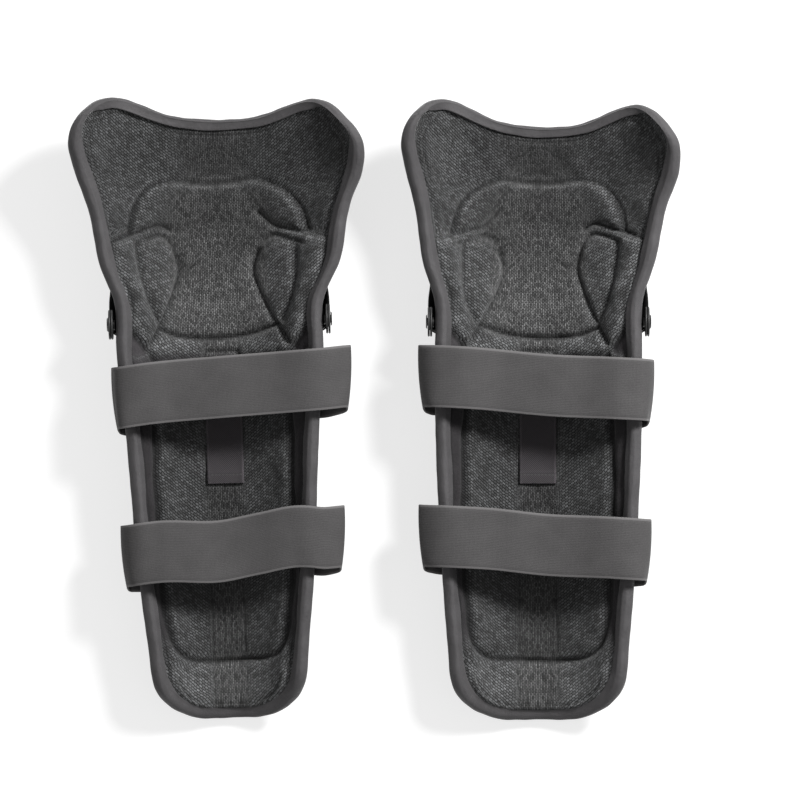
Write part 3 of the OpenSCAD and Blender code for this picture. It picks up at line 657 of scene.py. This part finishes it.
def strap_halves(g, which, look, seed):
    """The elastic band of one strap as two pieces that meet in its middle."""
    v = strap_v(g, which)
    lines = np.linspace(-1, 1, STRAP_LINES)
    half = STRAP_W / 2
    inner = np.array([refine(strap_path(g, which, w * half)[0], PATH_STEPS) for w in lines])
    cut = PATH_STEPS * strap_path(g, which, 0)[1]
    ahead = np.gradient(inner, axis=1)
    normal = np.stack([-ahead[..., 1], ahead[..., 0]], -1)
    normal /= np.linalg.norm(normal, axis=2)[..., None]
    along = lengths(inner)
    share = inner[..., 0] / full_half_w(g, v)
    sway = curve(SWAY[(SIDES[g], which)], HAND[g] * share) * smooth((1.25 - np.abs(share)) / 0.3)
    # The free middle of the strap waves a little
    free = smooth((1.0 - np.abs(share)) / 0.25) * (inner[..., 1] > skin(g, v, 1, 0)[2])
    wave = free * (0.8 * np.sin(along / 17 + seed) + 0.5 * np.sin(along / 9.3 + 2.3 * seed))
    wave = wave + free * 1.2 * np.sin(along / 31 + seed) * lines[:, None]

    # Under each fold the elastic slips towards the ankle, so that its dark inside shows
    under = smooth((fold_xz(g, v, 0)[1] + 2 - inner[..., 1]) / 12)
    slip = SLIP * under * smooth((np.abs(share) - 0.70) / 0.28)

    def at(row, out, reach):
        p = inner[row] + (out + wave[row])[:, None] * normal[row]
        y = v + reach + STRAP_SLANT * inner[row][:, 0] + sway[row] - slip[row]
        return np.stack([HAND[g] * p[:, 0], y, p[:, 1]], -1)

    rim = [(0.82, 0.12), (0.5, 0.0), (0.18, 0.12)]
    ring = [at(r, STRAP_T, w * (half - 0.5)) for r, w in enumerate(lines)]
    ring += [at(-1, STRAP_T * share_t, half - inset) for share_t, inset in rim]
    ring += [at(r, 0, lines[r] * (half - 0.5)) for r in range(len(lines) - 1, -1, -1)]
    ring += [at(0, STRAP_T * share_t, inset - half) for share_t, inset in rim[::-1]]
    section = np.stack(ring, 1)
    across = np.concatenate([lines * half, [half] * 3, lines[::-1] * half, [-half] * 3])
    cloth = cloth_grid(along[len(lines) // 2], across)
    pieces = []
    for label, part in (("sewn", slice(0, cut + 1)), ("hooked", slice(cut, None))):
        rows = section[part]
        name = f"{SIDES[g]}_{which}_strap_{label}_half"
        piece = band(name, to_row(g, rows), look["elastic"], cloth[part])
        pieces.append(piece)
    return pieces


def split_caps(piece):
    """Keep a band's flat ends out of the smooth shading of its faces."""
    mesh = piece.data
    sharp = set()
    for polygon in mesh.polygons:
        if len(polygon.vertices) > 4:
            polygon.use_smooth = False
            sharp.update(polygon.edge_keys)
    for edge in mesh.edges:
        if tuple(edge.key) in sharp:
            edge.use_edge_sharp = True


def band(name, rings, material, cloth):
    """Band of closed rings with flat ends."""
    piece = make_piece(name, rings, tube_faces(*rings.shape[:2], False), material, cloth=cloth)
    fix_normals(piece)
    split_caps(piece)
    return piece


def straps(g, look):
    """Each strap's two halves of elastic, folded round the rim at its sewn and hooked folds, baked
    in place of the CAD strap pieces.
    """
    side, hand = SIDES[g], HAND[g]
    for number, which in enumerate(("upper", "lower")):
        sewn, hooked = strap_halves(g, which, look, 1.7 * number + 2.9 * g)
        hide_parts(f"{side}_{which}_strap_anchor")
        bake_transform(sewn)
        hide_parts(f"{side}_{which}_strap", f"{side}_{which}_strap_tail")
        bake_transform(hooked)


def middle_tab(g, surfaces, look):
    """Webbing tab on the shin liner, with its free end folded under and stitched."""
    side = SIDES[g]
    places = np.concatenate([np.linspace(TAB_V, TAB_V + 9, 12),
                             np.linspace(TAB_V + 10, TAB_END, 40)])
    across = np.linspace(-1, 1, 15)
    rings = []
    for y in places:
        folded = 1 - smooth((y - TAB_V - 8) / 1.5)
        stitch = 0.35 * math.exp(-((y - TAB_V - TAB_STITCH) / 0.7) ** 2)
        thick = TAB_T + 0.9 * folded - stitch
        spots = []
        for a in across:
            guess = to_row(g, [a * TAB_W / 2 + 1.0 * (g == LEFT), y, 30])
            above = Vector(guess) + Vector((0, 0, 0.05))
            hit = surfaces["relief"].ray_cast(above, Vector((0, 0, -1)))[0]
            spots.append(np.array(hit) * 1000)
        spots = np.array(spots)
        spots[:, 2] = mix(spots[:, 2], spots[:, 2].mean(), 0.5) + 0.5
        selvedge = 0.25 * (np.abs(across) > 0.86)
        upper = spots + np.stack([0 * across, 0 * across, thick + selvedge
                                  + 0.3 * math.sin(y / 11) * across], -1)
        rings.append(np.concatenate([upper, spots[::-1] + [0, 0, -0.3]]) / 1000)
    section = np.array(rings)
    width = np.concatenate([across, across[::-1]]) * TAB_W / 2
    piece = band(f"{side}_middle_tab_webbing", section, look["webbing"], cloth_grid(places, width))
    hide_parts(f"{side}_middle_tab")
    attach(piece, f"{side}_shin")


# -------- hard shells
SHELL_SHARE, END_INSET = 0.9, 7
SHELL_COLS, SHELL_STEPS, EAR_TURNS = 65, 7, 48
# How far a shell's outside is sunk at its edge, one point in, and from there on
EASED_RIM = (0.9, 0.35, 0.0)
SHIN_ROWS = [3, 7, 12, 19, 29, 45] + list(np.linspace(70, SHIN_LEN - 67, 6))
KNEE_ROWS = ([SHIN_LEN + 5, SHIN_LEN + 16]
             + list(np.linspace(SHIN_LEN + 0.2 * KNEE_LEN, SHIN_LEN + 0.86 * KNEE_LEN, 7))
             + [SHIN_LEN + 0.93 * KNEE_LEN, GUARD_LEN - 3])


def around(ax, ar, share, phi):
    """Points on a round shell about the pivot axis, at phi degrees from straight down."""
    r = ar * np.sqrt(1 - share ** 2)
    turn = math.radians(phi)
    return np.stack([ax * share, SHIN_LEN + r * math.sin(turn), PIVOT_Z - r * math.cos(turn)], -1)


def edge_share(radius, r):
    return math.sqrt(1 - (r / radius) ** 2)


def shin_shell_rows(g, s, outer):
    lift = PLATE_LOW if outer else PLATE_HIGH
    rows = []
    for v in SHIN_ROWS[2:]:
        narrowed = s * half_w(g, v - END_INSET) / half_w(g, v)
        rows.append(skin(g, v, narrowed, lift - (0.8 if v < ANKLE_ROUND else 0)))
    for t in (0.35, 0.7, 1):
        leave = mix(SHIN_ROWS[-1], SHIN_LEN - 45 + 30 * np.abs(s) / SHELL_SHARE, t)
        rows.append(skin(g, leave, s, lift))
    radius = LAME_R - (0 if outer else SHELL_T)
    x = EAR_X + (EAR_T if outer else 0)
    share = edge_share(radius, 0.8 * EAR_R)
    for phi in (-30, -16, -2):
        rows.append(around(x / share, radius, s / SHELL_SHARE * share, phi))
    return rows


def knee_cup_rows(g, s, outer):
    radius = CUP_R - (0 if outer else SHELL_T)
    x = CUP_EAR_X + 2 * SEAT_GAP + (EAR_T if outer else 0)
    share = edge_share(radius, EAR_R)
    rows = [around(x / share, radius, s / SHELL_SHARE * share, phi) for phi in (-27, -13, 0)]
    low = rows[-1]
    for v in KNEE_ROWS[1:6]:
        wide = skin(g, v, s, CUP_LOW if outer else CUP_HIGH)
        t = smooth((v - SHIN_LEN - EAR_R - 2) / (0.36 * KNEE_LEN))
        start = np.stack([low[:, 0], np.full(len(s), v), low[:, 2]], -1)
        rows.append(mix(start, wide, t))
    return rows


def thigh_plate_rows(g, s, outer):
    return [skin(g, v, s, PLATE_LOW if outer else PLATE_HIGH) for v in KNEE_ROWS[3:10]]


def shin_ribs(x, y):
    """Depth of the shin shell's sunk lines: a spine panel and slanted slots beside it."""
    spine = np.exp(-((np.abs(x) - 17 - 0.02 * (y - 120)) / 1.5) ** 2) * smooth((y - 30) / 8)
    spine = spine * smooth((238 - y) / 8)
    slots = np.zeros(x.shape)
    along = np.abs(x)
    for centre in range(70, 221, 30):
        off = (y - centre - 0.35 * (along - 30)) / 3.2
        ends = smooth((along - 25) / 3) * smooth((50 - along) / 3)
        slots = np.maximum(slots, np.exp(-off ** 4) * ends)
    return 1.1 * np.maximum(spine, slots)


def cup_ribs(x, y):
    """Depth of the knee cup's sunk lines: two rings round its middle."""
    far = np.sqrt((x / 0.95) ** 2 + (y - 342) ** 2)
    rings = np.exp(-((far - 24) / 1.4) ** 2) + np.exp(-((far - 36) / 1.4) ** 2)
    return 1.0 * rings * smooth((y - 300) / 8)


def thigh_ribs(x, y):
    """Depth of the thigh plate's sunk lines."""
    bars = sum(np.exp(-((y - c - 4 * np.cos(x / 22)) / 1.3) ** 2) for c in (398, 410))
    return 0.9 * bars * smooth((46 - np.abs(x)) / 4)


# Each shell's name, body, rows, half width as a share, and sunk lines
SHELLS = (("shin_shell", "shin", shin_shell_rows, SHELL_SHARE, shin_ribs),
          ("knee_cup", "knee", knee_cup_rows, SHELL_SHARE, cup_ribs),
          ("thigh_plate", "knee", thigh_plate_rows, math.sin(math.radians(54)), thigh_ribs))


def shell(g, node, body, grid, share_limit, ribs, look):
    """Moulded shell: the CAD shell's shape, finer, with sunk lines on its outside."""
    side = SIDES[g]
    s = np.linspace(-share_limit, share_limit, SHELL_COLS)
    inner, outer = (refine(np.array(grid(g, s, out)).reshape(-1, 3 * len(s)), SHELL_STEPS)
                    .reshape(-1, len(s), 3) for out in (False, True))
    through = inner - outer
    wall = np.linalg.norm(through, axis=2)[..., None]
    sunk = ribs(outer[..., 0], outer[..., 1])[..., None]
    n, m = outer.shape[:2]
    rows, cols = np.arange(n)[:, None], np.arange(m)[None]
    edge = np.minimum(np.minimum(rows, n - 1 - rows), np.minimum(cols, m - 1 - cols))
    sunk = np.maximum(sunk, np.array(EASED_RIM)[np.minimum(edge, 2)][..., None])
    outer = outer + through / wall * np.minimum(sunk, 0.6 * wall)
    inner[..., 2] = np.maximum(inner[..., 2], 0.9)
    outer[..., 2] = np.maximum(outer[..., 2], 0.0)
    points = np.concatenate([inner.reshape(-1, 3), outer.reshape(-1, 3)])
    piece = make_piece(f"{side}_{node}_moulding", to_row(g, points), slab_faces(n, m),
                       look["shell"], cloth=points)
    fix_normals(piece)
    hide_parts(f"{side}_{node}")
    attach(piece, f"{side}_{body}")


def ears(g, name, body, x, look):
    """Round ears of a shell at the pivots, with eased rims."""
    side = SIDES[g]
    profile = [(0, 0.0), (EAR_R - 0.6, 0.0), (EAR_R - 0.15, 0.2), (EAR_R, 0.5),
               (EAR_R, EAR_T - 0.5), (EAR_R - 0.15, EAR_T - 0.2), (EAR_R - 0.6, EAR_T),
               (7.6, EAR_T), (7.2, EAR_T - 0.3), (6.7, EAR_T - 0.3), (6.4, EAR_T), (0, EAR_T)]
    for sign, label in ((-1, "a"), (1, "b")):
        points = []
        for r, t in profile:
            r = max(r, 0.05)
            for k in range(EAR_TURNS):
                a = 2 * math.pi * k / EAR_TURNS
                points.append([sign * (x + t), SHIN_LEN + r * math.cos(a),
                               PIVOT_Z + r * math.sin(a)])
        points = np.array(points)
        piece = make_piece(f"{side}_{name}_{label}", to_row(g, points),
                           tube_faces(len(profile), EAR_TURNS, False), look["shell"],
                           cloth=points)
        fix_normals(piece)
        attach(piece, f"{side}_{body}")


# -------- materials
# Noise lies mostly between these two values
NOISE_SPAN = (0.3, 0.7)
TAPE_TINT, ELASTIC_TINT, WEBBING_TINT = (1.04, 0.98, 1.03), (1.03, 0.99, 1.0), (1.08, 0.95, 1.06)
STITCH_PITCH = 2 * math.pi / 2.4


def colour(level, tint=(1.0, 1.0, 1.0)):
    """Linear colour for an sRGB grey from 0 to 255, with a slight tint."""
    s = level / 255
    linear = s / 12.92 if s <= 0.04045 else ((s + 0.055) / 1.055) ** 2.4
    return (linear * tint[0], linear * tint[1], linear * tint[2], 1)


class Nodes:
    """Short names for the nodes of one material."""

    def __init__(self, name, roughness, sheen=0.0, sheen_roughness=0.5, specular=0.5):
        self.material = bpy.data.materials.new(name)
        self.material.use_nodes = True
        self.tree = self.material.node_tree
        self.shader = self.tree.nodes["Principled BSDF"]
        self.shader.inputs["Roughness"].default_value = roughness
        self.shader.inputs["Sheen Weight"].default_value = sheen
        self.shader.inputs["Sheen Roughness"].default_value = sheen_roughness
        self.shader.inputs["Specular IOR Level"].default_value = specular

    def link(self, out, into):
        self.tree.links.new(out, into)

    def feed(self, socket, value):
        if isinstance(value, bpy.types.NodeSocket):
            self.link(value, socket)
        else:
            socket.default_value = value

    def node(self, kind, **inputs):
        made = self.tree.nodes.new(kind)
        for label, value in inputs.items():
            self.feed(made.inputs[label.replace("_", " ")], value)
        return made

    def math(self, kind, a, b=0.0):
        made = self.tree.nodes.new("ShaderNodeMath")
        made.operation = kind
        self.feed(made.inputs[0], a)
        self.feed(made.inputs[1], b)
        return made.outputs[0]

    def waves(self, value, pitch):
        """Sine of a value in mm that repeats at this pitch."""
        return self.math("SINE", self.math("MULTIPLY", value, 2 * math.pi / pitch))

    def attribute(self, name, output="Fac"):
        made = self.tree.nodes.new("ShaderNodeAttribute")
        made.attribute_name = name
        return made.outputs[output]

    def cloth(self):
        """Place on the fabric in mm, and its two parts."""
        place = self.attribute("cloth", "Vector")
        parts = self.node("ShaderNodeSeparateXYZ", Vector=place).outputs
        return place, parts[0], parts[1]

    def place(self):
        return self.node("ShaderNodeTexCoord").outputs["Object"]

    def mapped(self, vector, turn=0.0, scale=(1, 1, 1)):
        made = self.node("ShaderNodeMapping", Vector=vector, Rotation=(0, 0, turn), Scale=scale)
        return made.outputs[0]

    def noise(self, vector, scale, detail=2.0, roughness=0.5):
        made = self.node("ShaderNodeTexNoise", Vector=vector, Scale=scale, Detail=detail,
                         Roughness=roughness)
        return made.outputs["Fac"]

    def stitches(self, vector, width, height, gap, light, dark, between):
        """Rows of small knit stitches with gaps between them."""
        made = self.node("ShaderNodeTexBrick", Vector=vector, Scale=1.0, Color1=light, Color2=dark,
                         Mortar=between, Brick_Width=width, Row_Height=height, Mortar_Size=gap,
                         Mortar_Smooth=1.0)
        made.offset = 0.5
        return made.outputs["Color"], made.outputs["Fac"]

    def mix(self, share, a, b, first, output):
        made = self.tree.nodes.new("ShaderNodeMix")
        for place, value in ((0, share), (first, a), (first + 1, b)):
            self.feed(made.inputs[place], value)
        return made, made.outputs[output]

    def mix_value(self, share, a, b):
        return self.mix(share, a, b, 2, 0)[1]

    def mix_colour(self, share, a, b, kind="MIX"):
        made, mixed = self.mix(share, a, b, 6, 2)
        made.data_type = "RGBA"
        made.blend_type = kind
        return mixed

    def shaded(self, base, *levels):
        """Colour times grey levels."""
        shade = levels[0]
        for level in levels[1:]:
            shade = self.math("MULTIPLY", shade, level)
        grey = self.node("ShaderNodeCombineColor", Red=shade, Green=shade, Blue=shade).outputs[0]
        return self.mix_colour(1.0, base, grey, "MULTIPLY")

    def ramp(self, value, low, high, from_low, from_high):
        return self.node("ShaderNodeMapRange", Value=value, From_Min=from_low, From_Max=from_high,
                         To_Min=low, To_Max=high).outputs[0]

    def uneven(self, place, scale, detail, roughness, low, high):
        """Noise that wanders between low and high."""
        return self.ramp(self.noise(place, scale, detail, roughness), low, high, *NOISE_SPAN)

    def tones(self, value, low, high, dark, light, tint=(1.0, 1.0, 1.0)):
        """Dark to light grey as the value goes from low to high."""
        return self.mix_colour(self.ramp(value, 0.0, 1.0, low, high), colour(dark, tint),
                               colour(light, tint))

    def roughened(self, value, low, high):
        self.link(self.ramp(value, low, high, *NOISE_SPAN), self.shader.inputs["Roughness"])

    def finish(self, base, height, distance, strength=1.0):
        """Material with this colour, and with a bump of this height in mm."""
        self.feed(self.shader.inputs["Base Color"], base)
        made = self.node("ShaderNodeBump", Strength=strength, Distance=distance / 1000,
                         Height=height)
        self.link(made.outputs[0], self.shader.inputs["Normal"])
        return self.material


def knit_material():
    """Spacer mesh: slanted rows of stitches at the sides, fine upright ones in the middle."""
    m = Nodes("guard_knit", roughness=0.85, sheen=0.12, sheen_roughness=0.4, specular=0.25)
    place, x, y = m.cloth()
    coarse, plain = m.attribute("coarse"), m.attribute("plain")
    folded = m.node("ShaderNodeCombineXYZ", X=m.math("ABSOLUTE", x), Y=y).outputs[0]
    wander = m.node("ShaderNodeTexNoise", Vector=place, Scale=0.12, Detail=1.0)
    offset = m.node("ShaderNodeVectorMath", Vector=wander.outputs["Color"])
    offset.operation = "SCALE"
    offset.inputs["Scale"].default_value = 1.6
    moved = m.node("ShaderNodeVectorMath")
    m.link(folded, moved.inputs[0])
    m.link(offset.outputs[0], moved.inputs[1])
    slanted = m.mapped(moved.outputs[0], turn=math.radians(-38))
    upright = m.mapped(moved.outputs[0], turn=math.radians(90))
    rows, row_gap = m.stitches(slanted, 2.9, 1.8, 0.48, colour(98, (0.98, 1.0, 1.02)), colour(60),
                               colour(27))
    fine, fine_gap = m.stitches(upright, 2.4, 1.3, 0.34, colour(95), colour(51), colour(25))
    yarn = m.mix_colour(coarse, fine, rows)
    weave = m.mix_value(coarse, fine_gap, row_gap)
    tint = (1.05, 0.97, 1.04)
    smooth_cloth = m.mix_colour(m.noise(place, 0.9, 2.0), colour(38, tint), colour(50, tint))
    base = m.mix_colour(plain, yarn, smooth_cloth)
    # Random patches, times the pile's tones, which hold painted highlights and painted shade
    base = m.shaded(base, m.uneven(place, 0.035, 3.0, 0.6, 0.78, 1.22),
                    m.uneven(place, 0.55, 2.0, 0.7, 0.82, 1.18),
                    m.ramp(m.attribute("pile_tone_and_painted_light"), 0.50, 1.50, -1.0, 1.0))
    # Dark seam thread and painted shade in the creases
    base = m.mix_colour(m.math("MULTIPLY", m.attribute("seam_thread_and_crease_shade"), 0.85), base, colour(20))
    height = m.mix_value(plain, m.math("SUBTRACT", 1.0, weave), m.noise(place, 1.3, 2.0))
    return m.finish(base, height, 0.55, 0.9)


def binding_material():
    """Smooth folded tape with a fine rib along it."""
    m = Nodes("guard_binding_tape", roughness=0.62, sheen=0.25, sheen_roughness=0.35, specular=0.35)
    place, along, across = m.cloth()
    weave = m.math("MULTIPLY", m.waves(across, 0.9), m.waves(along, 0.7))
    base = m.tones(m.noise(place, 0.06, 3.0, 0.6), *NOISE_SPAN, 58, 70, TAPE_TINT)
    base = m.mix_colour(m.ramp(weave, 0.0, 0.18, -1.0, 1.0), base, colour(110))
    height = m.math("ADD", m.math("MULTIPLY", weave, 0.12), m.noise(place, 0.35, 3.0))
    return m.finish(base, height, 0.6, 0.7)


def elastic_material():
    """Woven elastic: fine ribs across it, lighter edges of selvedge thread and painted highlight.
    """
    m = Nodes("guard_elastic", roughness=0.75, sheen=0.2, sheen_roughness=0.4, specular=0.3)
    place, along, across = m.cloth()
    weave = m.math("ADD", m.math("MULTIPLY", m.waves(across, 1.25), 0.6),
                   m.math("MULTIPLY", m.waves(along, 0.95), 0.4))
    base = m.shaded(m.tones(weave, -1.0, 1.0, 65, 70, ELASTIC_TINT),
                    m.uneven(place, 0.05, 3.0, 0.6, 0.90, 1.10),
                    m.uneven(place, 0.9, 2.0, 0.7, 0.84, 1.16))
    # Thin lighter edges: selvedge thread, and a painted highlight along both edges
    rim = m.ramp(m.math("ABSOLUTE", across), 0.0, 0.55, STRAP_W / 2 - 1.6, STRAP_W / 2 - 0.6)
    base = m.mix_colour(rim, base, colour(118, ELASTIC_TINT))
    height = m.math("ADD", m.math("MULTIPLY", weave, 0.4), m.noise(place, 1.1, 2.0))
    return m.finish(base, height, 0.16, 0.7)


def webbing_material():
    """Dense woven webbing, darker than the elastic, with a stitched end."""
    m = Nodes("guard_webbing", roughness=0.7, sheen=0.2, sheen_roughness=0.4, specular=0.3)
    _, along, across = m.cloth()
    twill = m.waves(m.math("ADD", along, across), 1.5)
    base = m.tones(twill, -1.0, 1.0, 42, 58, WEBBING_TINT)
    line = m.math("ABSOLUTE", m.math("SUBTRACT", along, TAB_V + TAB_STITCH))
    dashes = m.math("GREATER_THAN", m.waves(across, STITCH_PITCH), -0.4)
    thread = m.math("MULTIPLY", m.ramp(line, 1.0, 0.0, 0.25, 0.55), dashes)
    base = m.mix_colour(thread, base, colour(66))
    selvedge = m.ramp(m.math("ABSOLUTE", across), 0.0, 0.6, TAB_W / 2 - 1.8, TAB_W / 2 - 0.9)
    base = m.mix_colour(selvedge, base, colour(72, WEBBING_TINT))
    return m.finish(base, twill, 0.25, 0.7)


def shell_material():
    """Moulded plastic with a fine grain and lighter scuffs."""
    m = Nodes("guard_shell_plastic", roughness=0.48, specular=0.5)
    place = m.place()
    slow = m.noise(place, 18.0, 4.0, 0.6)
    base = m.tones(slow, 0.35, 0.7, 34, 46)
    scratch = m.noise(m.mapped(place, turn=0.6, scale=(900, 60, 900)), 1.0, 3.0)
    base = m.mix_colour(m.ramp(scratch, 0.0, 0.35, 0.68, 0.78), base, colour(92))
    m.roughened(slow, 0.38, 0.58)
    return m.finish(base, m.noise(place, 1800.0, 2.0), 0.12, 0.5)


def hook_loop_material():
    """Short dense pile."""
    m = Nodes("guard_hook_loop", roughness=0.95, sheen=0.3, sheen_roughness=0.6, specular=0.1)
    pile = m.noise(m.place(), 1400.0, 3.0, 0.7)
    return m.finish(m.mix_colour(pile, colour(24), colour(52)), pile, 0.7, 1.0)


def rivet_material():
    """Dull dark metal, worn brighter in spots."""
    m = Nodes("guard_rivet_metal", roughness=0.4, specular=0.5)
    m.shader.inputs["Metallic"].default_value = 1.0
    wear = m.noise(m.place(), 260.0, 4.0, 0.6)
    m.roughened(wear, 0.3, 0.55)
    return m.finish(m.tones(wear, 0.4, 0.7, 58, 104), wear, 0.08, 0.5)


def floor_material():
    """White studio floor that reads as white to the camera and keeps the shadows."""
    m = Nodes("studio_floor", roughness=0.9, specular=0.0)
    m.shader.inputs["Base Color"].default_value = (0.40, 0.40, 0.40, 1)
    m.shader.inputs["Emission Color"].default_value = (1, 1, 1, 1)
    ray = m.node("ShaderNodeLightPath").outputs
    seen = m.math("MAXIMUM", ray["Is Camera Ray"], ray["Is Glossy Ray"])
    seen = m.math("MAXIMUM", seen, ray["Is Transmission Ray"])
    m.link(m.math("MULTIPLY", seen, FLOOR_GLOW), m.shader.inputs["Emission Strength"])
    return m.material


# -------- studio, in metres
FLOOR_GLOW, WORLD_LIGHT = 0.70, 0.34
# The floor lies a little below the shells' lowest points
FLOOR_HALF, FLOOR_DROP = 3.0, 0.0003
CAMERA_HEIGHT, SENSOR_MM = 6.0, 36
# The frame covers this width at the height of the guards' rims
FRAME_WIDTH, RIM_HEIGHT = 0.592, 0.05
AIM = (0.0199, 0.0070)
# Place, size and watts
LAMPS = {"key": ((1.25, 1.15, 1.55), 0.5, 78), "fill": ((-1.4, -0.6, 1.9), 1.6, 4)}


def studio():
    scene = bpy.context.scene
    corners = np.array([[x * FLOOR_HALF, y * FLOOR_HALF, -FLOOR_DROP]
                        for x, y in ((-1, -1), (1, -1), (1, 1), (-1, 1))])
    floor = make_piece("studio_floor_plane", corners, [(0, 1, 2, 3)], floor_material())

    camera_data = bpy.data.cameras.new("camera")
    camera_data.sensor_width = SENSOR_MM
    camera_data.lens = SENSOR_MM * (CAMERA_HEIGHT - RIM_HEIGHT) / FRAME_WIDTH
    camera_data.clip_end = 20
    camera = bpy.data.objects.new("camera", camera_data)
    camera.location = (AIM[0], AIM[1], CAMERA_HEIGHT)
    scene.collection.objects.link(camera)
    scene.camera = camera
    for name, (place, size, watts) in LAMPS.items():
        lamp(name, place, size, watts)

    world = bpy.data.worlds.new("studio")
    scene.world = world
    world.use_nodes = True
    tree = world.node_tree
    back = tree.nodes["Background"]
    back.inputs["Color"].default_value = (1, 1, 1, 1)
    # The world is white to the camera and lights the object more softly
    ray = tree.nodes.new("ShaderNodeLightPath")
    level = tree.nodes.new("ShaderNodeMath")
    level.operation = "MAXIMUM"
    level.inputs[1].default_value = WORLD_LIGHT
    tree.links.new(ray.outputs["Is Camera Ray"], level.inputs[0])
    tree.links.new(level.outputs[0], back.inputs["Strength"])
    scene.view_settings.view_transform = "Standard"


def lamp(name, place, size, watts):
    """Square soft lamp aimed at the middle of the pair."""
    data = bpy.data.lights.new(name, "AREA")
    data.size = size
    data.energy = watts
    light = bpy.data.objects.new(name, data)
    light.location = place
    light.rotation_euler = (-Vector(place)).to_track_quat("-Z", "Y").to_euler()
    bpy.context.scene.collection.objects.link(light)


# CAD nodes that stay as they are, and their materials
CAD_LOOKS = {"pivot_rivets": "rivet", "thigh_rivets": "rivet", "strap_rivets": "rivet",
             "upper_hook_patch": "hook_loop", "upper_loop_patch": "hook_loop",
             "lower_hook_patch": "hook_loop", "lower_loop_patch": "hook_loop"}


def dress_cad(look):
    for side in SIDES:
        for name, kind in CAD_LOOKS.items():
            for slot in bpy.data.objects[f"{side}_{name}"].material_slots:
                slot.material = look[kind]


def main():
    look = {"knit": knit_material(), "binding": binding_material(), "elastic": elastic_material(),
            "webbing": webbing_material(), "shell": shell_material(),
            "hook_loop": hook_loop_material(), "rivet": rivet_material()}
    studio()
    dress_cad(look)
    for g in (LEFT, RIGHT):
        surfaces = liner(g, look)
        binding(g, surfaces, look)
        middle_tab(g, surfaces, look)
        straps(g, look)
        for name, body, rows, limit, ribs in SHELLS:
            shell(g, name, body, rows, limit, ribs, look)
        ears(g, "shin_ear", "shin", EAR_X, look)
        ears(g, "cup_ear", "knee", CUP_EAR_X, look)


main()
